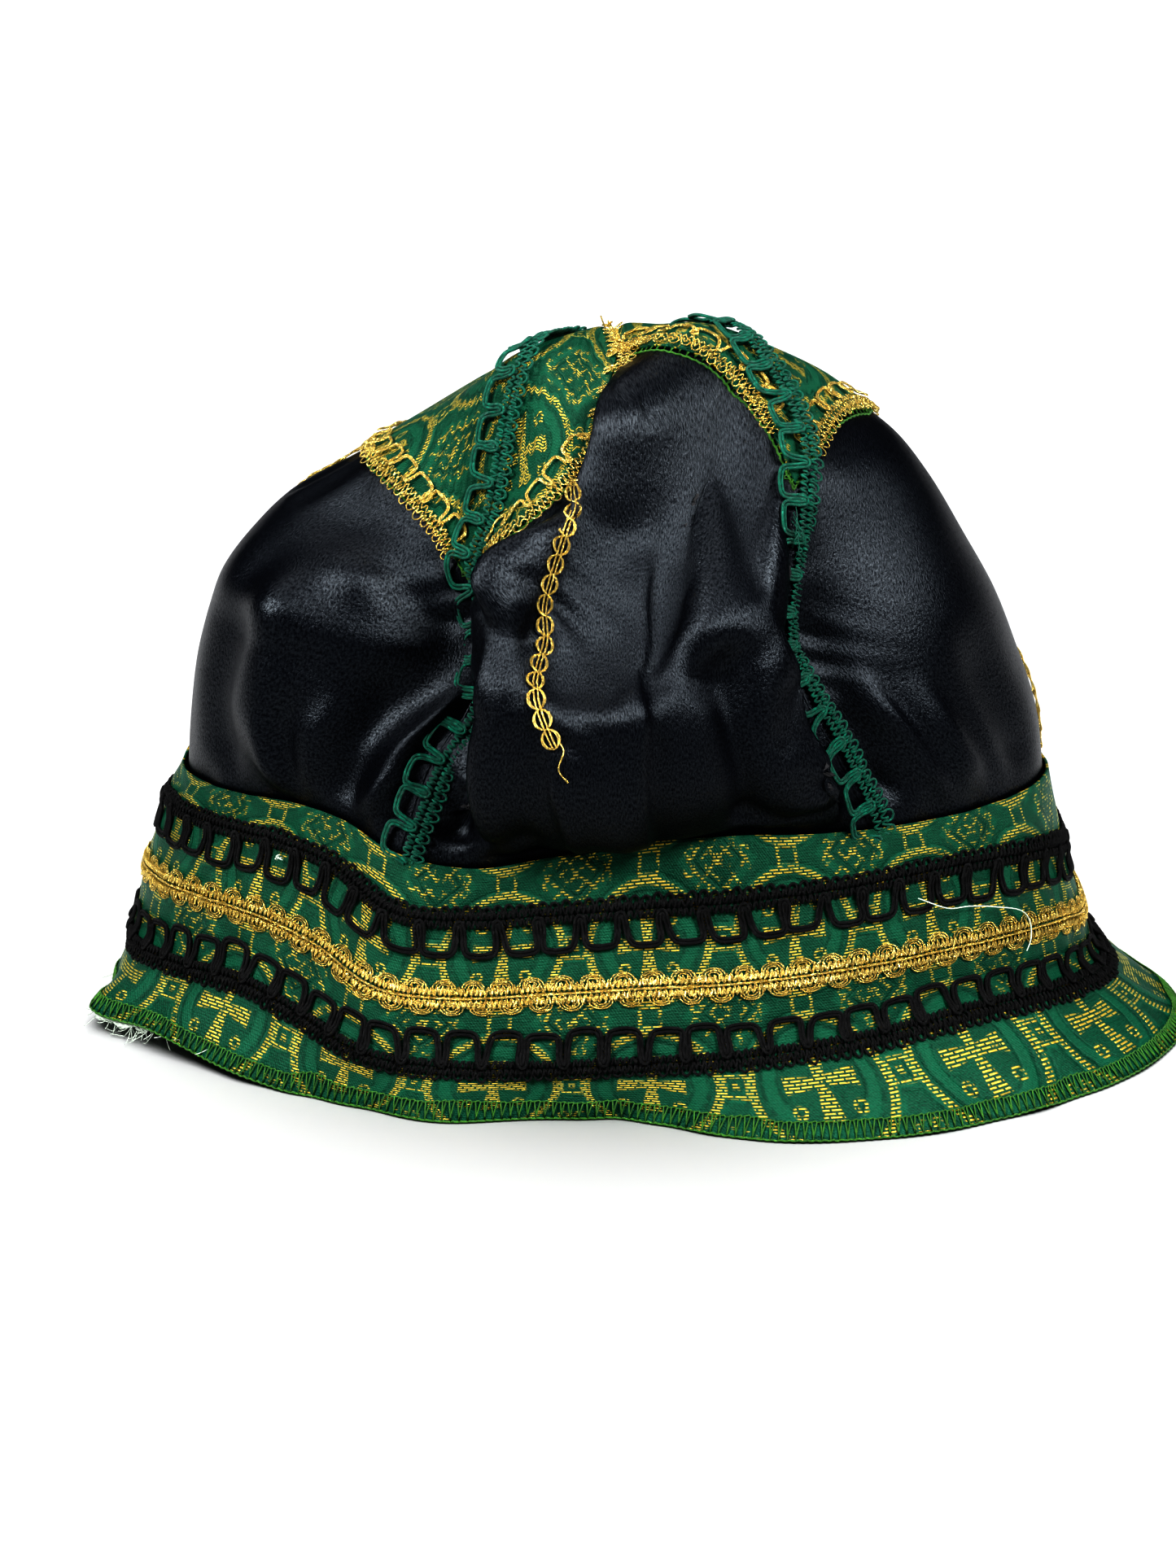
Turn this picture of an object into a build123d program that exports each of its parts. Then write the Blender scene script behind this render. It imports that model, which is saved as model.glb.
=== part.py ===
"""Puffed costume bonnet: four gathered satin panels under a four-pointed brocade star, sewn into a
flared brocade band that carries three rows of braid. Millimetres, +Z up. The hat stands on its hem:
the origin is the middle of the hem at the surface it stands on, -Y is the front, +X the wearer's left.
"""

import math
import os

from build123d import *

# Driving dimensions
HAT_HEIGHT = 193.0  # hem to the tip of the crown
HEM_HALF_WIDTH = 147.0
HEM_HALF_DEPTH = 95.0
BAND_HEIGHT = 69.0  # the band's upper edge, above the hem
BAND_TOP_HALF_WIDTH = 120.0
BAND_TOP_HALF_DEPTH = 76.0
BLACK_BRAID_WIDTH = 14.0
GOLD_BRAID_WIDTH = 9.5
SEAM_BRAID_WIDTH = 12.0
EDGE_BRAID_WIDTH = 9.0
CHAIN_WIDTH = 5.5
RIBBON_WIDTH = 13.0
OVERLOCK_WIDTH = 5.0

# Thickness of each layer of cloth or trim
BROCADE = 0.8
SATIN = 0.6
LINING = 0.4
INTERFACING = 0.5
RIBBON = 0.8
BRAID = 1.3
THREAD = 0.5
AIR = 0.1  # left between neighbouring layers, so that none overlaps

# The crown's outline at each height: (height, half width, half depth, how far the seams are drawn in).
CROWN_START = 53.0  # the crown's raw edge, inside the band
CROWN_OUTLINE = [
    (CROWN_START, 116.0, 71.5, 0.0),
    (68.0, 116.5, 73.0, 0.03),
    (84.0, 119.0, 80.0, 0.10),
    (104.0, 114.5, 82.0, 0.18),
    (124.0, 105.0, 78.0, 0.23),
    (140.0, 92.5, 69.0, 0.22),
    (153.0, 76.0, 57.0, 0.17),
    (166.0, 57.0, 43.0, 0.12),
    (178.0, 37.0, 28.0, 0.07),
    (187.5, 16.0, 13.0, 0.03),
]
CROWN_POINTS = 32  # points round each outline
SEAM_SHARPNESS = 4  # how narrow the valley along a seam is

# The star, as its plan on the top of the crown
STAR_POINT_REACH = 62.0  # from the middle to each point, along a seam
STAR_NOTCH_SIDE = 60.0  # from the middle to the notches over the side panels
STAR_NOTCH_FRONT = 28.0  # and over the front and back panels
SEAM_ANGLES = (45.0, 135.0, 225.0, 315.0)
PANELS = {"left": 0.0, "back": 90.0, "right": 180.0, "front": 270.0}  # the way each panel faces
SEAMS = {"back_left": 45.0, "back_right": 135.0, "front_right": 225.0, "front_left": 315.0}

TALL = 400.0  # longer than the hat, for cutting tools
BAND_LEVELS = 4  # outlines from hem to upper edge
FLARE = 1.25  # above 1 the band flares more at its hem


def band_outline(height):
    """Half width and half depth of the band's outer face at a height."""
    rise = 1 - (1 - height / BAND_HEIGHT) ** FLARE
    half_width = HEM_HALF_WIDTH + (BAND_TOP_HALF_WIDTH - HEM_HALF_WIDTH) * rise
    half_depth = HEM_HALF_DEPTH + (BAND_TOP_HALF_DEPTH - HEM_HALF_DEPTH) * rise
    return half_width, half_depth


def ellipse_wire(height, half_width, half_depth):
    return Plane.XY.offset(height) * Ellipse(half_width, half_depth).face().outer_wire()


def band_body(grown):
    """The solid inside the band's face, grown outwards, over the band's whole height."""
    wires = []
    for step in range(BAND_LEVELS):
        height = BAND_HEIGHT * step / (BAND_LEVELS - 1)
        half_width, half_depth = band_outline(height)
        wires.append(ellipse_wire(height, half_width + grown, half_depth + grown))
    return Solid.make_loft(wires)


def band_ring(low, high, inner, outer):
    """A ring that follows the band between two heights, from inner to outer off its face."""
    return (band_body(outer) - band_body(inner)) & slab(low, high)


def outline_normals():
    """The direction out of the crown's surface at each height, as (outwards, upwards)."""
    normals = []
    last = len(CROWN_OUTLINE) - 1
    for i in range(len(CROWN_OUTLINE)):
        below = CROWN_OUTLINE[max(i - 1, 0)]
        above = CROWN_OUTLINE[min(i + 1, last)]
        rise = above[0] - below[0]
        inward = (below[1] + below[2] - above[1] - above[2]) / 2
        length = math.hypot(rise, inward)
        normals.append((rise / length, max(inward, 0.0) / length))
    return normals


def crown_radius(angle, half_width, half_depth, drawn_in):
    """Distance from the crown's axis to its surface in one direction."""
    across, along = math.cos(angle) / half_width, math.sin(angle) / half_depth
    valley = abs(math.sin(2 * angle)) ** SEAM_SHARPNESS
    return (1 - drawn_in * valley) / math.hypot(across, along)


def crown_body(grown):
    """The solid inside the crown's surface, grown outwards."""
    sections = []
    normals = outline_normals()
    for (height, half_width, half_depth, drawn_in), (out, up) in zip(CROWN_OUTLINE, normals):
        level = height if height == CROWN_START else height + grown * up
        points = []
        for step in range(CROWN_POINTS):
            angle = 2 * math.pi * step / CROWN_POINTS
            radius = crown_radius(angle, half_width, half_depth, drawn_in) + grown * out
            points.append((radius * math.cos(angle), radius * math.sin(angle), level))
        sections.append(Wire([Edge.make_spline([Vector(*p) for p in points], periodic=True)]))
    sections.append(Vertex(0, 0, HAT_HEIGHT - 3 * BRAID + grown))
    return Solid.make_loft(sections)


def crown_layer(inner, outer):
    """A skin over the whole crown, from inner to outer off its surface."""
    return crown_body(outer) - crown_body(inner)


def above(height):
    return Pos(0, 0, height + TALL / 2) * Box(2 * TALL, 2 * TALL, TALL)


def slab(low, high):
    return Pos(0, 0, (low + high) / 2) * Box(2 * TALL, 2 * TALL, high - low)


def quarter(facing):
    """The quarter of space that one panel lies in, between the planes of its two seams."""
    corners = [(0, 0), (TALL, -TALL), (TALL, TALL)]
    return Rot(0, 0, facing) * extrude(make_face(Polyline(*corners, close=True)), TALL)


def half_strip(angle, width, start=0.0):
    """An upright wall of one width that runs from near the axis outwards at an angle."""
    return Rot(0, 0, angle) * (Pos(start + TALL / 2, 0, TALL / 2) * Box(TALL, width, TALL))


def star_corners(grown):
    """The star's plan, grown outwards: its points on the seams, its notches over the panels."""
    corners = []
    for facing in PANELS.values():
        notch = STAR_NOTCH_SIDE if facing in (0.0, 180.0) else STAR_NOTCH_FRONT
        for angle, reach in ((facing, notch), (facing + 45.0, STAR_POINT_REACH)):
            turned = math.radians(angle)
            # A point is sharper than a notch, so it has to move further to keep the strip's width.
            moved = reach + grown * (1.9 if reach == STAR_POINT_REACH else 1.1)
            corners.append((moved * math.cos(turned), moved * math.sin(turned)))
    return corners


def star_prism(grown=0.0):
    return extrude(make_face(Polyline(*star_corners(grown), close=True)), TALL)


def write(name, shape):
    solids = shape.solids()
    if not solids:
        raise ValueError(f"{name} has no solid")
    whole = solids[0] if len(solids) == 1 else Compound(children=list(solids))
    whole.label = name
    export_step(whole, f"parts/{name}.step")
    print(name, len(solids), round(sum(s.volume for s in solids)))


def make_band():
    write("brocade_band", band_ring(THREAD, BAND_HEIGHT, -BROCADE, 0))
    inner_face = -BROCADE - AIR
    interfacing_height = CROWN_START - 3
    interfacing = band_ring(OVERLOCK_WIDTH + 1, interfacing_height, inner_face - INTERFACING, inner_face)
    write("band_interfacing", interfacing)
    wrap = band_ring(0, OVERLOCK_WIDTH, -BROCADE - AIR - THREAD, AIR + THREAD)
    hem_room = band_body(AIR) - band_body(-BROCADE - AIR)
    write("hem_overlock", wrap - (hem_room & above(THREAD)))


def make_band_braids():
    """Three rows of braid on the band, each at its middle height and width."""
    rows = (
        ("upper_black_braid", 50.0, BLACK_BRAID_WIDTH),
        ("gold_band_braid", 34.5, GOLD_BRAID_WIDTH),
        ("lower_black_braid", 20.0, BLACK_BRAID_WIDTH),
    )
    for name, middle, width in rows:
        write(name, band_ring(middle - width / 2, middle + width / 2, AIR, AIR + BRAID))


def make_panels(satin):
    for side, facing in PANELS.items():
        write(f"{side}_satin_panel", satin & quarter(facing))


def make_star(star, star_layer):
    """The star, and the thread sewn round its raw edge, as thick as the cloth."""
    write("brocade_star_top", star_layer & star)
    edge = star_prism(1.2) - star_prism(AIR)
    write("star_overlock", star_layer & edge)


def make_edge_braids(on_star):
    """A length of gold braid along each side of the star, cut off beside the seam braids."""
    strip = star_prism(-1.0) - star_prism(-1.0 - EDGE_BRAID_WIDTH)
    for angle in SEAM_ANGLES:
        strip -= half_strip(angle, SEAM_BRAID_WIDTH + 2 * AIR)
    ring = on_star & strip
    for side, facing in PANELS.items():
        write(f"gold_edge_braid_{side}", ring & quarter(facing))


def make_seam_braids(on_satin, on_star):
    """A length of green braid up each seam and over the star to its middle."""
    clear_of_band = above(BAND_HEIGHT + AIR)
    outside_star = star_prism(1.4)
    for place, angle in SEAMS.items():
        strip = half_strip(angle, SEAM_BRAID_WIDTH, start=SEAM_BRAID_WIDTH / 2 + AIR)
        lower = (on_satin & strip & clear_of_band) - outside_star
        upper = on_star & strip & outside_star
        write(f"green_seam_braid_{place}", lower.fuse(upper))


def make_chains(on_satin):
    """A narrow gold chain braid down the middle of each panel, from the star's notch to the band."""
    clear_of_band = above(BAND_HEIGHT + AIR)
    below_star = star_prism(1.4)
    for side, facing in PANELS.items():
        strip = half_strip(facing, CHAIN_WIDTH)
        write(f"gold_chain_{side}", (on_satin & strip & clear_of_band) - below_star)


def make_linings():
    lining_face = -AIR
    write("crown_lining", crown_layer(lining_face - LINING, lining_face))
    ribbon_face = lining_face - LINING - AIR
    ribbon = crown_layer(ribbon_face - RIBBON, ribbon_face) & slab(CROWN_START, CROWN_START + RIBBON_WIDTH)
    write("sweatband_ribbon", ribbon)


def main():
    os.makedirs("parts", exist_ok=True)
    satin = crown_layer(0, SATIN)
    star_floor = SATIN + AIR
    star_face = star_floor + BROCADE
    star_layer = crown_layer(star_floor, star_face)
    on_satin = crown_layer(star_floor, star_floor + BRAID)
    on_star = crown_layer(star_face + AIR, star_face + AIR + BRAID)
    star = star_prism()
    make_band()
    make_band_braids()
    make_panels(satin)
    make_star(star, star_layer)
    make_edge_braids(on_star)
    make_seam_braids(on_satin, on_star)
    make_chains(on_satin)
    make_linings()


main()
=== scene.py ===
"""A puffed costume bonnet: gathered black satin under a brocade star, in a flared brocade band with braids.

Metres, +Z up. The hat stands on its hem; -Y is the front and +X is the wearer's left.
Shapes are worked out in millimetres and turned into metres when a mesh is made.
"""
import math

import bpy
import numpy as np
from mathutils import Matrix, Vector
from mathutils.bvhtree import BVHTree


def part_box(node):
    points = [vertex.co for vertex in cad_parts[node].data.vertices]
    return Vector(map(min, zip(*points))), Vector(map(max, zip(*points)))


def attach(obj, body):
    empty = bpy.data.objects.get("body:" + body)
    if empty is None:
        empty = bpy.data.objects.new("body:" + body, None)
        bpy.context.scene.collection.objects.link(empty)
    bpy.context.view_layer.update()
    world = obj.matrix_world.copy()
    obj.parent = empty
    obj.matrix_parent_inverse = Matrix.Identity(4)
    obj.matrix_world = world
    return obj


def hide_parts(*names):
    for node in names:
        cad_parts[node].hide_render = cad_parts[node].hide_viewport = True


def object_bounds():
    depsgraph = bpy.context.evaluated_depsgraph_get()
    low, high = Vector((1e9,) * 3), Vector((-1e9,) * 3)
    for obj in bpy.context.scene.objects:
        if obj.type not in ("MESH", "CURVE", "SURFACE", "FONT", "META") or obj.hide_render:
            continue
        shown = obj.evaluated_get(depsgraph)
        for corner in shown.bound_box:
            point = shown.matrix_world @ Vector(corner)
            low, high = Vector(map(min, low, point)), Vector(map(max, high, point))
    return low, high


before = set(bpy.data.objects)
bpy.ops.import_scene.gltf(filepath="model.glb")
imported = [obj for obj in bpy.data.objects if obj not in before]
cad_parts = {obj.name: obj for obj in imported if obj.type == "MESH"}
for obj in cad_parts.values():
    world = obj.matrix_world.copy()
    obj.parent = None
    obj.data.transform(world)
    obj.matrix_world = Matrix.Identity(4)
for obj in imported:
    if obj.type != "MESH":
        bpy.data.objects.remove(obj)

MM = 0.001
CAD_LOW, CAD_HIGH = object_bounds()

# Strengths: of the room and the two suns as Blender counts them, and of the two lamps in watts
ROOM_LIGHT, OVERHEAD_LIGHT, TABLE_LIGHT = 0.03, 1.1, 2.6
LEFT_LIGHT, FRONT_LIGHT = 17.0, 23.0
LIT_POINT = (0, 0, 0.1)

# Thickness of each cloth, in millimetres
BROCADE, SATIN, INTERFACING, LINING, RIBBON = 0.8, 0.6, 0.5, 0.4, 0.7


# ---------------------------------------------------------------- camera, floor and light

def look_at(thing, target):
    thing.rotation_euler = (Vector(target) - thing.location).to_track_quat("-Z", "Y").to_euler()


def make_camera():
    """Straight in front of the hat, 17 degrees above its middle, and aimed a little below it."""
    elevation, distance = math.radians(17), 0.8
    middle = Vector((0, 0, (CAD_LOW.z + CAD_HIGH.z) / 2))
    camera = bpy.data.objects.new("camera", bpy.data.cameras.new("camera"))
    bpy.context.scene.collection.objects.link(camera)
    camera.data.sensor_width = 36
    camera.data.lens = 67.3
    camera.location = middle + distance * Vector((0, -math.cos(elevation), math.sin(elevation)))
    look_at(camera, middle + Vector((-0.0066, -0.0093, -0.0315)))
    bpy.context.scene.camera = camera


def new_light(name, kind, place, target, power):
    light = bpy.data.objects.new(name, bpy.data.lights.new(name, kind))
    bpy.context.scene.collection.objects.link(light)
    light.data.energy = power
    light.location = place
    look_at(light, target)
    return light


def lamp(name, place, size, power):
    """A rectangular lamp that shines on the hat."""
    light = new_light(name, "AREA", place, LIT_POINT, power)
    light.data.shape = "RECTANGLE"
    light.data.size, light.data.size_y = size
    return light


def sun(name, place, target, angle, power):
    """A sun, soft by the angle that it fills in the sky."""
    light = new_light(name, "SUN", place, target, power)
    light.data.angle = math.radians(angle)
    return light


def share_out(light, floor, on_floor):
    """Makes a light fall on the floor alone, or on everything but the floor."""
    group = bpy.data.collections.new(light.name + "_receivers")
    group.objects.link(floor)
    light.light_linking.receiver_collection = group
    group.collection_objects[0].light_linking.link_state = "INCLUDE" if on_floor else "EXCLUDE"


def make_room():
    """Dim light from all round, and a white backdrop that only the camera sees."""
    scene = bpy.context.scene
    scene.view_settings.view_transform = "Standard"
    scene.view_settings.look = "Very High Contrast"
    scene.world = bpy.data.worlds.new("room")
    scene.world.use_nodes = True
    tree = scene.world.node_tree
    room = tree.nodes["Background"]
    room.inputs["Color"].default_value = (0.9, 0.95, 1, 1)
    room.inputs["Strength"].default_value = ROOM_LIGHT
    backdrop = tree.nodes.new("ShaderNodeBackground")
    backdrop.inputs["Color"].default_value = (1, 1, 1, 1)
    backdrop.inputs["Strength"].default_value = 1.05
    seen = tree.nodes.new("ShaderNodeLightPath")
    either = tree.nodes.new("ShaderNodeMixShader")
    tree.links.new(seen.outputs["Is Camera Ray"], either.inputs["Fac"])
    tree.links.new(room.outputs[0], either.inputs[1])
    tree.links.new(backdrop.outputs[0], either.inputs[2])
    tree.links.new(either.outputs[0], tree.nodes["World Output"].inputs["Surface"])


def make_floor():
    """A white table top, just under the hem."""
    mesh = bpy.data.meshes.new("floor")
    reach = 6.0
    corners = [(-reach, -reach, 0), (reach, -reach, 0), (reach, reach, 0), (-reach, reach, 0)]
    mesh.from_pydata(corners, [], [(0, 1, 2, 3)])
    floor = bpy.data.objects.new("floor", mesh)
    bpy.context.scene.collection.objects.link(floor)
    floor.location.z = -0.0005
    paint = bpy.data.materials.new("floor_paint")
    paint.use_nodes = True
    shader = paint.node_tree.nodes["Principled BSDF"]
    shader.inputs["Base Color"].default_value = (0.88, 0.885, 0.89, 1)
    shader.inputs["Roughness"].default_value = 0.7
    mesh.materials.append(paint)
    return floor


def make_lights(floor):
    """A soft sun overhead and a lamp on each side in front light the hat; a wide sun lights the table."""
    for light in (sun("overhead_light", (-0.1, 0.25, 1.2), LIT_POINT, 55, OVERHEAD_LIGHT),
                  lamp("left_light", (-0.75, -0.55, 0.85), (0.4, 0.4), LEFT_LIGHT),
                  lamp("front_light", (0.75, -0.7, 1.0), (0.5, 0.4), FRONT_LIGHT)):
        share_out(light, floor, False)
    share_out(sun("table_light", (0, 0.1, 1), (0, 0, 0), 80, TABLE_LIGHT), floor, True)


# ---------------------------------------------------------------- smooth lines and surfaces

def through(places, values, at, period=None):
    """A smooth line through given values, read at some places. With a period, it closes on itself."""
    places = np.asarray(places, float)
    values = np.asarray(values, float)
    if period:
        places = np.concatenate([places - period, places, places + period])
        values = np.concatenate([values] * 3)
    slopes = np.gradient(values, places, axis=0)
    at = np.asarray(at, float)
    i = np.clip(np.searchsorted(places, at, side="right") - 1, 0, len(places) - 2)
    span = places[i + 1] - places[i]
    t = (at - places[i]) / span
    extra = (1,) * (values.ndim - 1)
    t, span = t.reshape(t.shape + extra), span.reshape(span.shape + extra)
    start, end = values[i], values[i + 1]
    leaving, arriving = slopes[i] * span, slopes[i + 1] * span
    return (start * (2 * t**3 - 3 * t**2 + 1) + leaving * (t**3 - 2 * t**2 + t)
            + end * (3 * t**2 - 2 * t**3) + arriving * (t**3 - t**2))


def eased(x):
    return x * x * (3 - 2 * x)


def bump(x, middle, width):
    return np.exp(-(((x - middle) / width) ** 2))


def broadcast(*values):
    return np.broadcast_arrays(*(np.asarray(x, float) for x in values))


def unit(v):
    return v / np.maximum(np.linalg.norm(v, axis=-1, keepdims=True), 1e-12)


class Cloth:
    """A sheet as a grid of points: rows up the sheet, columns along it."""

    def __init__(self, points, along, up, closed=False):
        self.points = points
        self.along = np.asarray(along, float)
        self.up = np.asarray(up, float)
        self.closed = closed
        self.find_normals()

    def find_normals(self):
        if self.closed:
            ring = np.concatenate([self.points[:, -2:-1], self.points, self.points[:, 1:2]], axis=1)
            across = ring[:, 2:] - ring[:, :-2]
        else:
            across = np.gradient(self.points, axis=1)
        upward = np.gradient(self.points, axis=0)
        self.normals = unit(np.cross(across, upward))

    def at(self, along, up, lift=0.0):
        """Points on the sheet, or lifted off it, at places along and up it."""
        along, up = broadcast(along, up)
        if self.closed:
            span = self.along[-1] - self.along[0]
            along = self.along[0] + np.mod(along - self.along[0], span)
        x = np.interp(along, self.along, np.arange(len(self.along)))
        y = np.interp(up, self.up, np.arange(len(self.up)))
        i = np.clip(x.astype(int), 0, len(self.along) - 2)
        j = np.clip(y.astype(int), 0, len(self.up) - 2)
        fx, fy = (x - i)[..., None], (y - j)[..., None]

        def mixed(grid):
            low = grid[j, i] * (1 - fx) + grid[j, i + 1] * fx
            high = grid[j + 1, i] * (1 - fx) + grid[j + 1, i + 1] * fx
            return low * (1 - fy) + high * fy

        place = mixed(self.points)
        if np.any(lift):
            place = place + unit(mixed(self.normals)) * np.asarray(lift)[..., None]
        return place


# ---------------------------------------------------------------- the band

BAND_CLOTH = (0, 24, 40, 57, 76)  # hem, lower braid, gold braid, upper braid and top edge, up the cloth
BAND_SHARE = (0.0, 0.42, 0.58, 0.78, 1.0)  # how far each of them is from the hem's size to the top's
GOLD_SHARE = 0.52  # the gold braid's place among the band's rows of points
LOWER_BRAID, GOLD_BRAID, UPPER_BRAID = 23.5, 40.0, 57.5  # where each braid's middle line is, up the cloth
HEM_STITCHES = 4.6  # how far the overlock reaches in from the hem

# Round the band: direction in degrees (270 is the front), how far the upper part and the hem stand out,
# and the heights of hem, lower braid, gold braid, upper braid and top edge, in millimetres.
BAND_STATIONS = [
    (0, -1, 11, 0.5, 19, 31, 46, 70),
    (20, 0, 2, 1, 20, 33, 49, 70),
    (50, 0, 3, 0, 20.5, 35, 51, 69),
    (90, 0, 0, 1, 20, 34.5, 50.5, 70),
    (130, 0, 3, 0, 20, 34.5, 50, 69),
    (165, 0, -4, 1.5, 21, 36, 52, 69),
    (184, -2, -6, 3, 23, 40, 56.5, 68.5),
    (196, -4.5, 1, 4, 24.5, 41, 57, 69.3),
    (207, -7, -6, 5, 26, 42, 57.6, 70),
    (222, -9, -8, 1.8, 27, 41.5, 58, 71.5),
    (232, -7, -8, 0, 22.5, 38.5, 56, 70.5),
    (243, -2, -7, 0, 17, 31, 47, 65),
    (252, -4, -4, 0, 15.5, 30, 46, 62.5),
    (262, -4, -10, 0, 17, 32.5, 48.5, 66.5),
    (272, -5, -10, 0, 18, 34, 50, 70),
    (285, -4, 5, 0, 19.5, 35, 51.5, 72),
    (297, -3, 11, 0, 21.5, 36.5, 53, 71),
    (315, -2, 13, 0, 24.5, 37.5, 54.5, 70.5),
    (335, 0, 15, 0, 22, 35.5, 51, 71),
    (350, 0, 15, 0.5, 18.5, 31, 46, 71),
]
BAND_COLUMNS, BAND_ROWS = 641, 75


def half_sizes(node, highest):
    """Half width and half depth of a CAD node's ring of points at its top or bottom, in millimetres."""
    low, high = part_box(node)
    level = high.z if highest else low.z
    ring = [v.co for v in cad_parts[node].data.vertices if abs(v.co.z - level) < 0.5 * MM]
    return max(abs(c.x) for c in ring) / MM, max(abs(c.y) for c in ring) / MM


def band_shape():
    """The outer face of the band, cut open at the middle of the back, where it is joined."""
    stations = np.array(BAND_STATIONS, float)
    direction = np.linspace(90, 450, BAND_COLUMNS)
    read = through(stations[:, 0], stations[:, 1:], direction % 360, 360)
    upper_out, hem_out, heights = read[:, 0], read[:, 1], read[:, 2:]
    hem, top = half_sizes("brocade_band", False), half_sizes("brocade_band", True)
    turned = np.radians(direction)
    rows = []
    for k, share in enumerate(BAND_SHARE):
        out = hem_out if k == 0 else upper_out
        half_width = hem[0] + (top[0] - hem[0]) * share + out
        half_depth = hem[1] + (top[1] - hem[1]) * share + out
        ring = [half_width * np.cos(turned), half_depth * np.sin(turned), heights[:, k]]
        rows.append(np.stack(ring, axis=1))
    up = np.linspace(0, BAND_CLOTH[-1], BAND_ROWS)
    points = through(BAND_CLOTH, np.array(rows), up)
    gold_row = points[int(BAND_ROWS * GOLD_SHARE)]
    along = np.concatenate([[0], np.cumsum(np.linalg.norm(np.diff(gold_row, axis=0), axis=1))])
    return puckered(Cloth(points, along, up))


# How freely the band puckers, by place up its cloth: least where a braid is sewn on
PUCKER_SHARE = [(0, 0.7), (4, 0.9), (12, 0.8), (18, 0.2), (29, 0.2), (32, 0.6), (36, 0.2), (44, 0.2),
                (48, 0.7), (52, 0.2), (63, 0.2), (68, 0.9), (76, 0.5)]
PUCKER_HEIGHT = 0.55


def puckered(band):
    """The band with the small creases that its stitching draws up, deepest at the viewer's left."""
    along, up = band.along[None], band.up[:, None]
    free = np.interp(up, *zip(*PUCKER_SHARE))
    loose = 0.6 + 0.5 * np.sin(along / 41) ** 2 + 0.9 * bump(along, 212, 28)
    small = np.sin(along / 2.7 + 1.6 * np.sin(along / 19) + up / 9)
    patches = 0.5 + 0.5 * np.sin(along / 13 + up / 15)
    waves = small * patches + 0.8 * np.sin(along / 4.9 - up / 5 + 2 * np.sin(along / 31))
    band.points = band.points + band.normals * (PUCKER_HEIGHT * free * loose * waves)[..., None]
    band.points[..., 2] = np.maximum(band.points[..., 2], 0.0)
    band.find_normals()
    return band


# ---------------------------------------------------------------- the crown

# From the band to the top: (out from the axis, height), facing left, back, right and front.
CROWN_PROFILES = {
    "left": [(120, 71), (117, 84), (110.5, 100), (103, 118), (93.7, 134), (84.6, 149), (75.6, 161),
             (66.6, 169), (57.8, 176), (44.8, 183), (27.5, 189.5), (10, 192), (0, 192.5)],
    "back": [(74, 70), (82, 84), (85, 105), (80, 125), (68, 143), (50, 160), (30, 176), (12, 187),
             (0, 192.5)],
    "right": [(117, 70), (115.4, 84), (111, 107), (105, 123), (96.8, 134), (87.8, 143), (76.7, 150),
              (65.6, 156), (50, 165), (32.8, 176), (22, 183), (11, 190), (0, 192.5)],
    "front": [(73, 70), (84, 82), (88, 104), (82, 125), (70, 142), (50, 158), (30, 174), (12, 186),
              (0, 192.5)],
}
# The seams, drawn in by their braids: (out from the axis, height, direction in degrees).
CROWN_SEAMS = {
    "back_left": [(92, 70, 45), (84, 88, 47), (77, 108, 48), (72, 125, 46), (66, 142, 45), (56, 160, 45),
                  (34, 183, 45), (0, 192.5, 45)],
    "back_right": [(92, 70, 137), (84, 88, 135), (74, 108, 134), (68, 125, 134), (62, 142, 135),
                   (52, 158, 135), (34, 181, 135), (0, 192.5, 135)],
    "front_right": [(86.6, 66, 229.7), (74, 87, 231.6), (61, 104, 235), (54, 119, 232.5), (53.8, 131, 228),
                    (49.4, 146, 228.4), (43.9, 162, 228.7), (35.7, 182, 229.6), (0, 192.5, 230)],
    "front_left": [(91.5, 70, 318), (84.2, 90, 313), (76.8, 107, 308.7), (70.6, 119, 307.5),
                   (66.6, 136, 311.3), (62, 155, 317), (57, 163, 321), (33, 187, 322.5), (0, 192.5, 323)],
}
# How wide the valley beside each seam is, in degrees: before it and past it, each at the band, a third of
# the way up, and from two thirds of the way up.
VALLEY_WIDTHS = {"back_left": ((20, 20, 28), (20, 20, 28)), "back_right": ((20, 20, 28), (20, 20, 28)),
                 "front_right": ((22, 22, 30), (15, 8.5, 26)), "front_left": ((13, 13, 24), (22, 22, 30))}
SEAM_PLACES = {"back_left": 1 / 8, "back_right": 3 / 8, "front_right": 5 / 8, "front_left": 7 / 8}
PANELS = {"back": ("back_left", "back_right"), "right": ("back_right", "front_right"),
          "front": ("front_right", "front_left"), "left": ("front_left", "back_left")}
PANEL_COLUMNS, CROWN_ROWS = 129, 121
CROWN_EDGE = 53.0  # the satin's raw edge, hidden in the band
HEAD_GIRTH = 620  # round the band's upper edge, in millimetres
SATIN_SIZE, LINING_SIZE = (640, 180), (600, 175)  # round the crown and up it, as woven, in millimetres
TUCK = 0.1  # the share of the crown's rows that is inside the band
INSIDE_BAND = 1.6  # how far inside the band's outer face the satin comes out of it, in millimetres
TOP_STARTS, TOP_RISE = 148, 42  # the height where the crown's top part starts, and its own height
CROWN_MIDDLE = 28.0  # how far behind the top of the crown its seams meet, in millimetres
TOP_LAYERS = 8.0  # how far the satin's top is sunk, for the star and braids that lie on it, in millimetres


def read_profile(points, v):
    """A smooth line through given points, read at shares of its length."""
    points = np.array(points, float)
    steps = np.linalg.norm(np.diff(points[:, :2], axis=0), axis=1)
    place = np.concatenate([[0], np.cumsum(steps)]) / steps.sum()
    return through(place, points, v)


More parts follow.
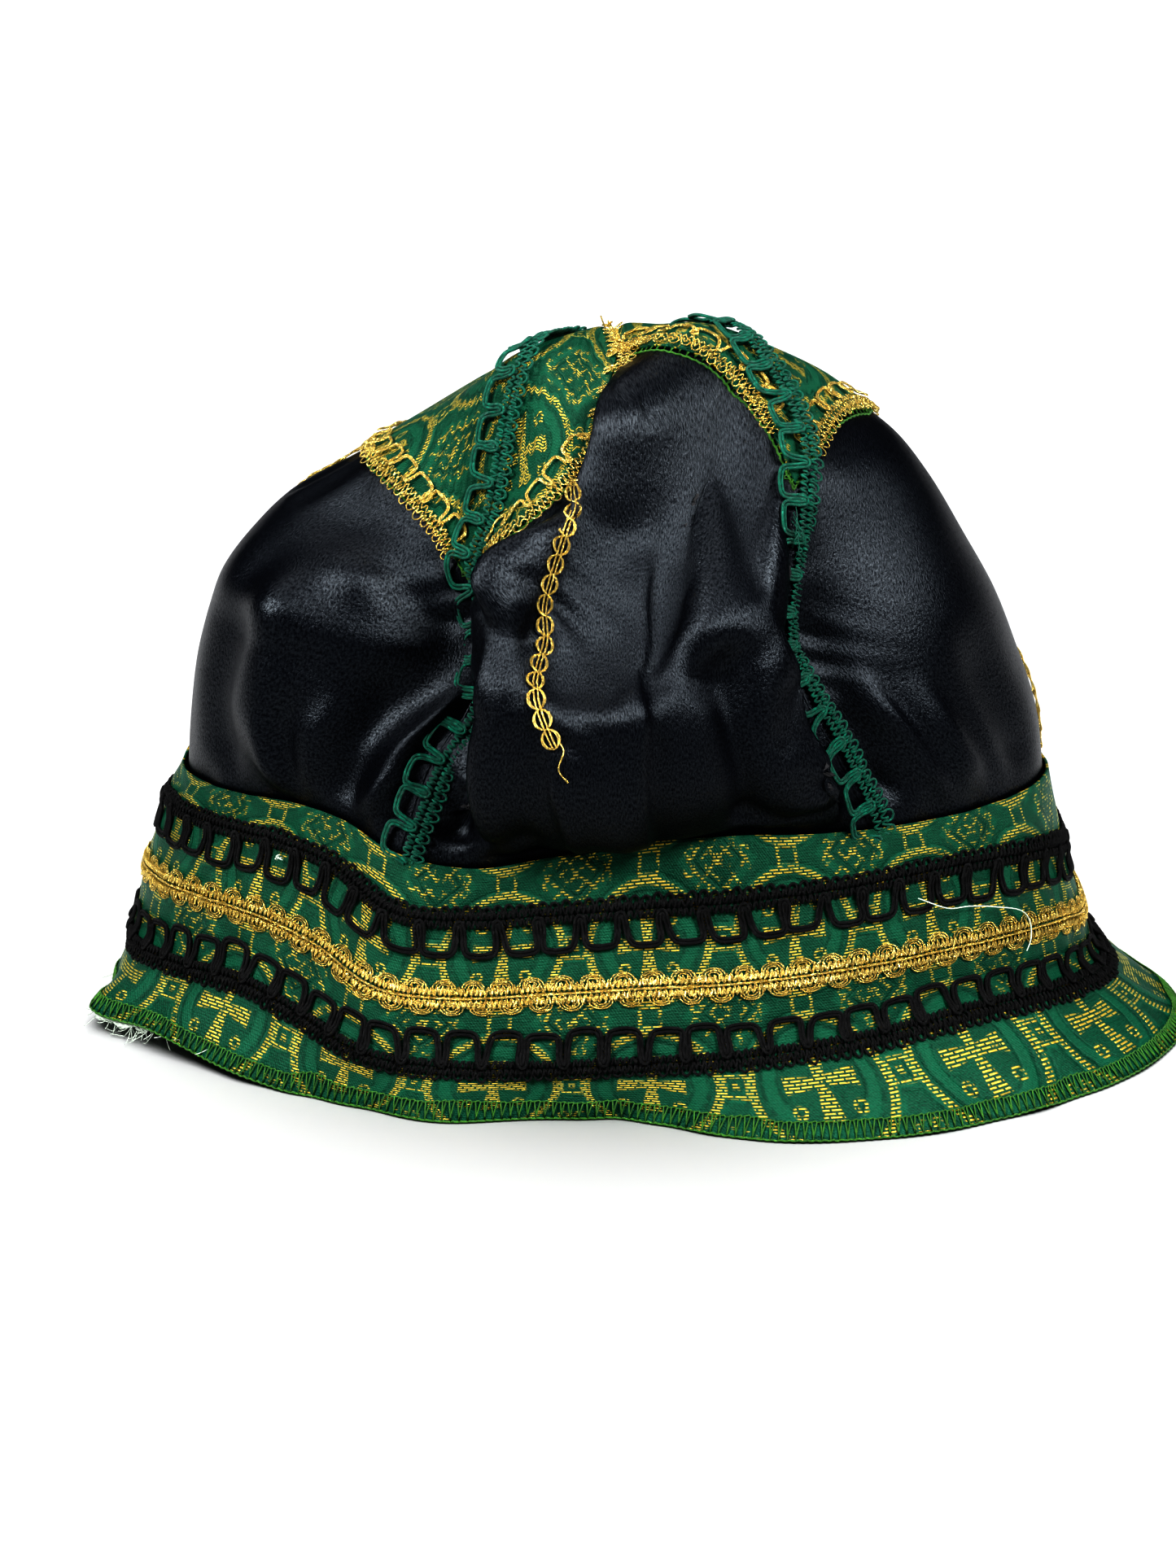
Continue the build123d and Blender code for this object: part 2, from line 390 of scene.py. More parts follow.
def envelope(profiles, turned):
    """Radius and height of the puffs, were there no seams, in directions given for each row."""
    east = (np.cos(turned) > 0)[..., None]
    north = (np.sin(turned) > 0)[..., None]
    width = np.where(east, profiles["left"][:, None], profiles["right"][:, None])
    depth = np.where(north, profiles["back"][:, None], profiles["front"][:, None])
    across = np.cos(turned) / np.maximum(width[..., 0], 1e-6)
    ahead = np.sin(turned) / np.maximum(depth[..., 0], 1e-6)
    share = np.cos(turned) ** 2
    return 1 / np.hypot(across, ahead), width[..., 1] * share + depth[..., 1] * (1 - share)


def joined_to_band(points, direction, band, v, above):
    """A panel's points, brought to the band's upper edge and, in their lowest rows, down inside the band."""
    top_row = band.points[-1]
    ring_direction = np.degrees(np.arctan2(top_row[:, 1], top_row[:, 0])) % 360
    order = np.argsort(ring_direction)
    edge = np.stack([np.interp(direction, ring_direction[order], part, period=360)
                     for part in top_row[order].T], axis=-1)
    edge[:, :2] -= INSIDE_BAND * unit(edge[:, :2])
    fade = np.clip(1 - above / 0.16, 0, 1) ** 1.5
    points = points + (edge - points[np.argmax(above > 0) - 1])[None] * fade[:, None, None]
    sunk = np.clip(1 - v / TUCK, 0, 1)
    points[..., 2] -= sunk[:, None] * (edge[:, 2] - CROWN_EDGE)
    points[..., :2] *= 1 - 0.02 * sunk[:, None, None]
    return points


def crown_shape(band):
    """The satin's outer face, from its raw edge in the band to the top of the crown."""
    v = np.linspace(0, 1, CROWN_ROWS)
    above = np.clip((v - TUCK) / (1 - TUCK), 0, 1)
    profiles = {k: read_profile(p, above) for k, p in CROWN_PROFILES.items()}
    seams = {k: read_profile(p, above) for k, p in CROWN_SEAMS.items()}
    even = np.linspace(0, 1, PANEL_COLUMNS)
    share = even - 0.6 * np.sin(2 * math.pi * even) / (2 * math.pi)  # closer together at the seams
    columns, places = [], []
    for panel, (before, after) in PANELS.items():
        a, b = seams[before], seams[after]
        turn_a, turn_b = a[:, 2], b[:, 2]
        if panel == "left":
            turn_b = turn_b + 360
        direction = turn_a[:, None] + (turn_b - turn_a)[:, None] * share
        radius, height = envelope(profiles, np.radians(direction))
        ends = ((a, turn_a, VALLEY_WIDTHS[before][1]), (b, turn_b, VALLEY_WIDTHS[after][0]))
        for seam, turn, width in ends:
            radius_at, height_at = envelope(profiles, np.radians(turn)[:, None])
            wide = np.interp(above, (0, 0.3, 0.4, 0.65), (width[0], width[1], width[1], width[2]))[:, None]
            weight = np.exp(-(np.abs(direction - turn[:, None]) / wide) ** 2.2)
            radius = radius + (seam[:, 0] - radius_at[:, 0])[:, None] * weight
            height = height + (seam[:, 1] - height_at[:, 0])[:, None] * weight
        turned = np.radians(direction)
        points = np.stack([radius * np.cos(turned), radius * np.sin(turned), height], axis=-1)
        columns.append(joined_to_band(points, direction[0], band, v, above)[:, :-1])
        places.append(SEAM_PLACES[before] + share[:-1] / 4)
    points = np.concatenate(columns + [columns[0][:, :1]], axis=1)
    places = np.concatenate(places + [[places[0][0] + 1]])
    return Cloth(centred_behind(points), places, v, closed=True)


def centred_behind(points):
    """The same surface with the place where the seams meet moved behind the top, and with the top sunk."""
    rows, columns = points.shape[:2]
    surface = BVHTree.FromPolygons(points.reshape(-1, 3).tolist(), grid_faces(rows, columns).tolist())
    rise = np.clip((points[..., 2] - TOP_STARTS) / TOP_RISE, 0, 1)
    moved = points.copy()
    moved[..., 1] += CROWN_MIDDLE * eased(rise)
    for j, i in zip(*np.nonzero(rise > 0)):
        hit = surface.ray_cast(Vector((moved[j, i, 0], moved[j, i, 1], 400)), Vector((0, 0, -1)))[0]
        if hit:
            moved[j, i, 2] = hit.z
    behind = np.clip(moved[..., 1] + 12, 0, 60)
    moved[..., 2] -= TOP_LAYERS * rise**3 + 0.004 * behind**2 * rise
    return moved


# Folds in the satin: the line that each runs on, as (place round the crown, row up it) from low to high,
# how far it stands out, its width on the side before and the side past it, and how far it leans over
# towards the side past it, in millimetres.
FOLDS = [
    ([(0.813, 0.42), (0.811, 0.483), (0.795, 0.60), (0.778, 0.708), (0.774, 0.80)], 4.5, 15, 20),
    ([(0.760, 0.08), (0.759, 0.217), (0.762, 0.35), (0.768, 0.483), (0.765, 0.60)], 4.5, 17, 2.5),
    ([(0.858, 0.08), (0.856, 0.20), (0.846, 0.34), (0.838, 0.44)], 6, 14, 3.5, 2),
    ([(0.545, 0.36), (0.550, 0.46)], 4, 22, 18),
    ([(0.565, 0.50), (0.555, 0.60)], -4, 14, 14),
    ([(0.812, 0.10), (0.816, 0.26), (0.815, 0.42)], -5, 8, 5),
    ([(0.682, 0.47), (0.692, 0.54), (0.708, 0.60), (0.728, 0.66), (0.740, 0.71), (0.752, 0.77)],
     8, 3.6, 15, -7),
    ([(0.680, 0.12), (0.678, 0.30), (0.676, 0.42)], 4, 4, 12, -2),
    ([(0.650, 0.10), (0.652, 0.20), (0.650, 0.36)], -8, 6, 6),
    ([(0.862, 0.30), (0.861, 0.42), (0.862, 0.50), (0.862, 0.57)], 2.5, 12, 3.5, 1),
    ([(0.724, 0.06), (0.719, 0.20), (0.712, 0.32)], 4, 2.2, 15),
    ([(0.700, 0.06), (0.696, 0.18)], -2.5, 4, 5),
    ([(0.539, 0.10), (0.533, 0.30), (0.538, 0.48)], -4, 9, 9),
    ([(0.566, 0.08), (0.561, 0.20), (0.553, 0.33), (0.549, 0.44)], 4, 9, 5),
    ([(0.571, 0.06), (0.568, 0.18), (0.565, 0.28)], -3.5, 2.5, 3),
    ([(0.575, 0.06), (0.577, 0.19), (0.581, 0.31)], 3, 4, 9),
    ([(0.586, 0.06), (0.590, 0.20), (0.594, 0.36)], -5, 7, 7),
    ([(0.598, 0.05), (0.607, 0.18), (0.612, 0.29), (0.619, 0.37)], 5, 5, 5),
    ([(0.600, 0.42), (0.580, 0.50)], -3, 8, 8),
    ([(0.575, 0.44), (0.570, 0.56)], 3, 8, 8),
    ([(0.915, 0.06), (0.910, 0.18), (0.903, 0.32)], 3.5, 6, 2.5),
    ([(0.932, 0.06), (0.928, 0.17), (0.922, 0.29)], 3, 8, 3),
    ([(0.892, 0.14), (0.888, 0.30), (0.886, 0.44)], -3, 6, 9),
    ([(0.955, 0.06), (0.952, 0.20), (0.950, 0.34)], -2.5, 6, 8),
    ([(0.733, 0.84), (0.734, 0.99)], -2.5, 3, 3),
]
BACK_FOLDS = 15  # smaller gathers round the back, each set by chance


def off_line(crown, line):
    """How far past a line up the crown each of its points is, in millimetres."""
    round_row = np.linalg.norm(np.diff(crown.points, axis=1), axis=-1).sum(axis=1)
    return (np.mod(crown.along[None] - line[:, None] + 0.5, 1) - 0.5) * round_row[:, None]


def fold_share(crown, line, height, before, past, lean=0):
    """How far one fold moves each point of the crown out, and how far along."""
    line = np.array(line)
    low, high = line[0, 1], line[-1, 1]
    middle = through(line[:, 1], line[:, 0], np.clip(crown.up, low, high))
    away = off_line(crown, middle)
    width = np.where(away < 0, before, past)
    ends = np.clip((crown.up - low) / 0.06 + 0.6, 0, 1) * np.clip((high - crown.up) / 0.1 + 0.3, 0, 1)
    from_band = np.clip((crown.up - TUCK) / 0.07, 0, 1)
    share = np.exp(-(away / width) ** 2) * (eased(ends) * eased(from_band))[:, None]
    return np.stack([height * share, lean * share])


def sewn_puckers(crown):
    """Small creases at the seams, the front chain and the band, where thread draws the satin in."""
    up = crown.up
    rows, places = zip(*CHAIN_LINES["front"])
    lines = [(np.full(len(up), place), 1.4, 11.0, 9.0, 0.10, 0.62) for place in SEAM_PLACES.values()]
    lines.append((through(rows, places, np.clip(up, rows[0], rows[-1])), 1.5, 12.0, 11.0, 0.26, 0.66))
    out = np.zeros(crown.points.shape[:2])
    for number, (line, height, wave, reach, low, high) in enumerate(lines):
        away = off_line(crown, line)
        turn = up[:, None] * 180 / wave + 0.5 * np.sin(up * 19 + 2 * number)[:, None] + 0.06 * np.abs(away)
        size = height * (0.55 + 0.45 * np.sin(up * 31 + 3 * number)) * np.clip((up - low) / 0.06, 0, 1)
        size = size * np.clip((high - up) / 0.08, 0, 1)
        near = np.exp(-np.abs(away) / reach) * np.clip(np.abs(away) / 5, 0, 1)
        out += size[:, None] * near * np.cos(2 * math.pi * turn + np.sign(away))
    round_band = crown.along[None] * HEAD_GIRTH
    gathers = np.sin(round_band / 2.6 + 2.5 * np.sin(round_band / 29))
    gathers *= 0.5 + 0.5 * np.sin(round_band / 17)
    from_band = np.clip((up - TUCK) / 0.05, 0, 1) * np.clip(1 - (up - TUCK) / 0.22, 0, 1)
    return out + 1.1 * gathers * from_band[:, None]


def fold(crown):
    """Lays the listed folds into the crown, with gathers round the back and small creases at the seams."""
    chance = np.random.default_rng(7)
    folds = list(FOLDS)
    for k in range(BACK_FOLDS):
        place = 0.03 + 0.44 * (k + chance.uniform(-0.3, 0.3)) / BACK_FOLDS
        lean = chance.uniform(-0.012, 0.012)
        reach = chance.uniform(0.22, 0.42)
        line = [(place, 0.06), (place + lean / 2, reach / 2), (place + lean, reach)]
        height = chance.choice([-1, 1]) * chance.uniform(2, 4)
        folds.append((line, height, chance.uniform(3, 8), chance.uniform(3, 8)))
    out, over = sum(fold_share(crown, *f) for f in folds)
    out = out + sewn_puckers(crown)
    turned = np.arctan2(crown.points[..., 1], crown.points[..., 0])
    ahead = np.stack([-np.sin(turned), np.cos(turned), np.zeros_like(turned)], axis=-1)
    crown.points = crown.points + crown.normals * out[..., None] + ahead * over[..., None]
    crown.find_normals()


DRAPE_COLUMNS, DRAPE_ROWS, DRAPE_FRAMES = 200, 64, 30
GATHERS = 1.08  # the satin's length round the band, as a share of the band's
SLACK = 1.03  # the satin's length from band to star, as a share of the drawn shape's


def drape(crown, fixed_from):
    """Lets the satin puff and crease as cloth does, held at the band, at the seams and under the star."""
    along = np.linspace(0, 1, DRAPE_COLUMNS + 1)[:-1] + 1 / 8
    up = np.linspace(TUCK, 1, DRAPE_ROWS)
    start = crown.at(along[None], up[:, None])
    longer = 1 + (GATHERS - 1) * (0.35 + 0.65 * np.clip(1 - (up - TUCK) / 0.5, 0, 1))
    rest = start * np.array([1, 1, SLACK])
    rest[..., :2] *= longer[:, None, None]
    faces = grid_faces(DRAPE_ROWS, DRAPE_COLUMNS)
    last = np.arange(DRAPE_ROWS - 1) * DRAPE_COLUMNS + DRAPE_COLUMNS - 1
    closing = np.stack([last, last + 1 - DRAPE_COLUMNS, last + 1, last + DRAPE_COLUMNS], axis=1)
    mesh = bpy.data.meshes.new("draping")
    mesh.from_pydata((start.reshape(-1, 3) * MM).tolist(), [], np.concatenate([faces, closing]).tolist())
    piece = bpy.data.objects.new("draping", mesh)
    bpy.context.scene.collection.objects.link(piece)
    piece.shape_key_add(name="drawn")
    uncreased = piece.shape_key_add(name="flat_lengths")
    uncreased.data.foreach_set("co", (rest * MM).ravel())
    held = piece.vertex_groups.new(name="held")
    seam_columns = (np.arange(DRAPE_COLUMNS) % (DRAPE_COLUMNS // 4)) == 0
    under_star = up[:, None] >= fixed_from(along)[None]
    fixed = under_star | seam_columns[None] | (np.arange(DRAPE_ROWS) == 0)[:, None]
    held.add(np.flatnonzero(fixed.ravel()).tolist(), 1.0, "REPLACE")
    modifier = piece.modifiers.new("cloth", "CLOTH")
    cloth = modifier.settings
    cloth.vertex_group_mass = "held"
    cloth.rest_shape_key = uncreased
    cloth.quality = 8
    cloth.mass = 0.1
    cloth.tension_stiffness = cloth.compression_stiffness = 8
    cloth.shear_stiffness = 2
    cloth.bending_stiffness = 1.5
    cloth.use_pressure = True
    cloth.uniform_pressure_force = 5.0
    cloth.effector_weights.gravity = 0.1
    modifier.collision_settings.use_self_collision = False
    modifier.point_cache.frame_end = DRAPE_FRAMES
    scene = bpy.context.scene
    for step in range(1, DRAPE_FRAMES + 1):
        scene.frame_set(step)
    draped = piece.evaluated_get(bpy.context.evaluated_depsgraph_get()).to_mesh()
    ended = np.zeros(len(draped.vertices) * 3)
    draped.vertices.foreach_get("co", ended)
    moved = ended.reshape(start.shape) / MM - start
    scene.frame_set(1)
    bpy.data.objects.remove(piece)
    moved = np.concatenate([moved, moved[:, :1]], axis=1)
    shift = Cloth(moved, np.append(along, along[0] + 1), up, closed=True)
    crown.points = crown.points + shift.at(crown.along[None], np.maximum(crown.up, TUCK)[:, None])
    crown.find_normals()


# ---------------------------------------------------------------- meshes

MATERIALS = {}  # by slot, filled in by make_materials


def new_piece(name, vertices, faces, uv, slot):
    """A smooth mesh of four-sided faces, from points in millimetres and a place on its cloth for each."""
    mesh = bpy.data.meshes.new(name)
    mesh.vertices.add(len(vertices))
    mesh.vertices.foreach_set("co", (vertices * MM).ravel())
    mesh.loops.add(faces.size)
    mesh.loops.foreach_set("vertex_index", faces.ravel())
    mesh.polygons.add(len(faces))
    mesh.polygons.foreach_set("loop_start", np.arange(len(faces)) * 4)
    mesh.update(calc_edges=True)
    mesh.polygons.foreach_set("use_smooth", [True] * len(faces))
    mesh.uv_layers.new(name="cloth").data.foreach_set("uv", (uv[faces.ravel()] * MM).ravel())
    mesh.materials.append(MATERIALS[slot])
    piece = bpy.data.objects.new(name, mesh)
    bpy.context.scene.collection.objects.link(piece)
    return piece


def grid_faces(rows, columns):
    j, i = np.meshgrid(np.arange(rows - 1), np.arange(columns - 1), indexing="ij")
    first = (j * columns + i).ravel()
    return np.stack([first, first + 1, first + columns + 1, first + columns], axis=1)


def sheet_piece(name, points, uv, thickness, slot, node):
    """A sheet of cloth with its real thickness, measured inwards from the points."""
    rows, columns = points.shape[:2]
    piece = new_piece(name, points.reshape(-1, 3), grid_faces(rows, columns), uv.reshape(-1, 2), slot)
    solid = piece.modifiers.new("thickness", "SOLIDIFY")
    solid.thickness = thickness * MM
    solid.offset = -1
    return finished(piece, slot, node)


class Strands:
    """Round cords and threads, collected into one mesh. Its UV runs along each cord and round it."""

    def __init__(self, sides=5):
        self.sides = sides
        self.vertices, self.faces, self.uv, self.count = [], [], [], 0

    def add(self, points, radius, up):
        """One cord through points; up is a direction across the cord at each point, or one for all."""
        points = np.asarray(points, float)
        up = np.broadcast_to(np.asarray(up, float), points.shape)
        ahead = unit(np.gradient(points, axis=0))
        side = unit(np.cross(ahead, up))
        up = np.cross(side, ahead)
        radius = np.broadcast_to(np.asarray(radius, float), len(points))[:, None, None]
        turn = np.linspace(0, 2 * math.pi, self.sides + 1)[:-1]
        ring = np.cos(turn)[None, :, None] * up[:, None] + np.sin(turn)[None, :, None] * side[:, None]
        vertices = points[:, None] + radius * ring
        length = np.concatenate([[0], np.cumsum(np.linalg.norm(np.diff(points, axis=0), axis=1))])
        uv = np.stack(np.broadcast_arrays(length[:, None], (turn / (2 * math.pi))[None]), axis=-1)
        n, k = len(points), self.sides
        first = np.arange(n - 1)[:, None] * k + np.arange(k)[None]
        after = np.arange(n - 1)[:, None] * k + (np.arange(k)[None] + 1) % k
        faces = np.stack([first, after, after + k, first + k], axis=-1).reshape(-1, 4) + self.count
        self.vertices.append(vertices.reshape(-1, 3))
        self.uv.append(uv.reshape(-1, 2))
        self.faces.append(faces)
        self.count += n * k

    def piece(self, name, slot, *nodes):
        piece = new_piece(name, np.concatenate(self.vertices), np.concatenate(self.faces),
                          np.concatenate(self.uv), slot)
        finished(piece, slot, *nodes)


def finished(piece, slot, *nodes):
    """Gives a piece its body and hides the CAD nodes that it is shown in place of; its slot is not used."""
    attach(piece, "root")
    if nodes:
        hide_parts(*nodes)
    return piece


def evened(values, reach):
    """Values along a line, each averaged with its neighbours."""
    padded = np.concatenate([values[:1]] * reach + [values] + [values[-1:]] * reach)
    return sum(padded[k:k + len(values)] for k in range(2 * reach + 1)) / (2 * reach + 1)


class Route:
    """A line on a sheet of cloth, and places beside it and above it, in millimetres.

    What lies under the line lifts it: base, at each point of the line. A stiff braid lies straight
    across the line; any other follows the cloth on both sides of it.
    """

    def __init__(self, cloth, along, up, base=0.0, stiff=False):
        self.cloth = cloth
        self.stiff = stiff
        self.along, self.up, self.base = broadcast(along, up, base)
        self.points = cloth.at(self.along, self.up)
        if stiff:
            self.points = evened(self.points, 3)
        steps = np.linalg.norm(np.diff(self.points, axis=0), axis=1)
        self.place = np.concatenate([[0], np.cumsum(steps)])
        self.length = self.place[-1]
        ahead = unit(np.gradient(self.points, axis=0))
        small_along = (cloth.along[-1] - cloth.along[0]) * 0.002
        small_up = (cloth.up[-1] - cloth.up[0]) * 0.004
        if stiff:
            nearby = [(a * small_along, b * small_up) for a in (-5, -2, 2, 5) for b in (-5, 0, 5)]
            normal = sum(self.straight_up(a, b) for a, b in nearby)
            normal = unit(evened(unit(normal), 6))
            self.normal = unit(normal - (normal * ahead).sum(-1, keepdims=True) * ahead)
            self.side = np.cross(self.normal, ahead)
            return
        over = (cloth.at(self.along + small_along, self.up)
                - cloth.at(self.along - small_along, self.up)) / (2 * small_along)
        rise = (cloth.at(self.along, self.up + small_up)
                - cloth.at(self.along, self.up - small_up)) / (2 * small_up)
        side = np.cross(unit(np.cross(over, rise)), ahead)
        a, b, c = (over * over).sum(-1), (over * rise).sum(-1), (rise * rise).sum(-1)
        p, q = (side * over).sum(-1), (side * rise).sum(-1)
        scale = np.maximum(a * c - b * b, 1e-9)
        self.step_along, self.step_up = (c * p - b * q) / scale, (a * q - b * p) / scale

    def straight_up(self, along, up):
        """The cloth's own direction outwards, a little way off the line."""
        return (self.cloth.at(self.along + along, self.up + up, 1.0)
                - self.cloth.at(self.along + along, self.up + up))

    def read(self, ahead, values):
        return np.interp(ahead, self.place, values)

    def lay(self, ahead, beside, lift):
        """Points ahead along the route, beside it to its left, and lifted off the cloth."""
        ahead, beside, lift = broadcast(ahead, beside, lift)
        lift = lift + self.read(ahead, self.base)
        if self.stiff:
            middle, side, normal = (np.stack([self.read(ahead, part[:, k]) for k in range(3)], axis=-1)
                                    for part in (self.points, self.side, self.normal))
            return middle + beside[..., None] * side + lift[..., None] * normal
        along = self.read(ahead, self.along) + beside * self.read(ahead, self.step_along)
        up = self.read(ahead, self.up) + beside * self.read(ahead, self.step_up)
        return self.cloth.at(along, np.clip(up, self.cloth.up[0] - 2, self.cloth.up[-1]), lift)

    def cord(self, strands, ahead, beside, lift, radius):
        points = self.lay(ahead, beside, lift)
        above = self.lay(ahead, beside, np.asarray(lift) + 1.0)
        strands.add(points, radius, above - points)


# ---------------------------------------------------------------- braids

# One loop of the looped cord: (share of the pitch, share of the braid's reach), from heading to heading.
LOOP = [(-0.50, 0.36), (-0.43, 0.22), (-0.405, -0.10), (-0.395, -0.62), (-0.32, -0.92), (-0.12, -1.0),
        (0.12, -1.0), (0.32, -0.92), (0.395, -0.62), (0.405, -0.10), (0.43, 0.22)]


def looped_cord(route, pitch, reach, chance):
    """The line of a cord that runs out in wide loops and back into the heading: (ahead, beside).

    The loops differ a little, as they do on a braid that has been handled.
    """
    loop = np.array(LOOP)
    count = int(route.length / pitch)
    number = np.arange(count)[:, None]
    size = 1 + chance.normal(0, 0.05, (count, 1))
    slant = chance.normal(0, 0.14, (count, 1))
    beside = loop[None, :, 1] * reach * size
    ahead = (loop[None, :, 0] + number + 0.5) * pitch + np.minimum(beside, 0) * slant
    line = np.stack([ahead.ravel(), beside.ravel()], axis=1)
    line = through(np.arange(len(line)), line, np.arange(0, len(line) - 1, 1 / 3))
    return line[:, 0], line[:, 1]


def side_by_side(ahead, beside, gap):
    """Two lines that run gap apart either side of a line on the flat."""
    forward = unit(np.stack([np.gradient(ahead), np.gradient(beside)], axis=1))
    for sign in (-0.5, 0.5):
        yield ahead - sign * gap * forward[:, 1], beside + sign * gap * forward[:, 0]


def coils(strands, route, middle, width, pitch, radius, lift, chance, phase=0.0):
    """A cord carried to and fro across a row, close together, standing proud in the middle of the row."""
    ahead = np.arange(0, route.length, pitch / 6)
    turn = 2 * math.pi * (ahead / pitch + phase)
    knots = np.arange(0, route.length + pitch, pitch)
    loose = np.interp(ahead, knots, chance.normal(0, 0.16, len(knots)))
    across = np.sin(turn)
    route.cord(strands, ahead + loose, middle + width / 2 * across + loose * 0.5,
               lift + radius * (1.1 * (1 - across**2) + 0.5 * np.cos(turn)), radius)


def picots(strands, route, middle, reach, pitch, radius, lift, chance):
    """Small loops along an edge."""
    turn = np.linspace(-0.3, math.pi + 0.3, 8)
    for number in range(int(route.length / pitch)):
        size = chance.uniform(0.75, 1.2)
        ahead = (number + 0.5) * pitch - np.cos(turn) * pitch * 0.38
        route.cord(strands, ahead, middle + reach * size * np.sin(turn), lift, radius)


def loop_braid(name, route, slot, node, side, seed, pitch=10.4, reach=6.2, cord=0.47, heading=4.6):
    """Gimp braid: a dense heading with picots on its edge, and wide double loops on its other side."""
    strands = Strands()
    chance = np.random.default_rng(seed)
    middle = -side * 3.2
    coils(strands, route, middle - side * heading * 0.24, heading * 0.46, 1.45, cord * 0.8, 0.5, chance)
    coils(strands, route, middle + side * heading * 0.24, heading * 0.46, 1.6, cord * 0.8, 0.5, chance, 0.3)
    picots(strands, route, middle - side * heading * 0.42, -side * 1.7, 2.9, cord * 0.8, 0.55, chance)
    ahead, beside = looped_cord(route, pitch, reach, chance)
    for line in side_by_side(ahead, -side * (beside + 0.4), cord * 1.9):
        inside = np.clip((-side * line[1] + 1.0) / 2.5, 0, 1)
        route.cord(strands, line[0], line[1], 0.6 + 0.9 * inside, cord)
    strands.piece(name, slot, node)


def gold_row_braid(name, route, node):
    """Two dense rows side by side, a straight cord between them, and scallops of fine wire on both edges."""
    strands = Strands(4)
    chance = np.random.default_rng(11)
    pitch = 7.7
    turn = np.linspace(0, math.pi, 9)
    for side in (-1, 1):
        coils(strands, route, side * 1.6, 2.2, 1.35, 0.36, 0.45, chance, 0.25 * side)
        for number in range(int(route.length / pitch) - 1):
            middle = (number + (0.75 if side > 0 else 1.0)) * pitch
            for size in (1.0, 0.72, 0.44):
                beside = side * (2.6 + 1.9 * size * np.sin(turn))
                route.cord(strands, middle - np.cos(turn) * 3.0 * size, beside, 0.5, 0.2)
    ahead = np.arange(0, route.length, 1.0)
    route.cord(strands, ahead, 0, 0.95 + 0.08 * np.sin(ahead * 2), 0.33)
    strands.piece(name, "gold_braid", node)


def chain_braid(name, route, node):
    """A chain of oval links: two cords that cross between links, and two twisted cords down the middle."""
    strands = Strands()
    link = 5.2
    ahead = np.arange(0, route.length, link / 12)
    phase = math.pi * ahead / link
    wave = np.sign(np.sin(phase)) * np.abs(np.sin(phase)) ** 0.55
    for side in (-1, 1):
        for wide in (2.3, 1.85):
            route.cord(strands, ahead, side * wide * wave, 0.45 + 0.3 * side * np.cos(phase), 0.2)
        route.cord(strands, ahead, side * 0.5, 0.5, 0.25 + 0.04 * np.sin(ahead * 5))
    strands.piece(name, "gold_braid", node)


def edge_stitches(strands, route, width, pitch, radius, chance):
    """Overlock: thread carried to and fro over a raw edge, a thread along the edge and one inside it."""
    ahead, beside, lift = [], [], []
    for number in range(int(route.length / pitch)):
        slip = chance.uniform(-0.25, 0.25)
        for share, step in zip((0.0, 0.04, 0.5, 0.9, 0.96), (-0.1, 0.25, 0.95, 1.0, 0.55)):
            ahead.append((number + share) * pitch + slip * step)
            beside.append(step * width)
            lift.append(0.15 if step < 0 else 0.5)
    route.cord(strands, ahead, beside, lift, radius)
    ahead = np.arange(0, route.length, pitch / 4)
    wave = np.sin(2 * math.pi * ahead / pitch)
    route.cord(strands, ahead, -0.2 + 0.15 * wave, 0.1, radius * 1.6)
    route.cord(strands, ahead + 0.3 * wave, width * 0.98 + 0.2 * wave, 0.45, radius * 0.9)


# ---------------------------------------------------------------- materials

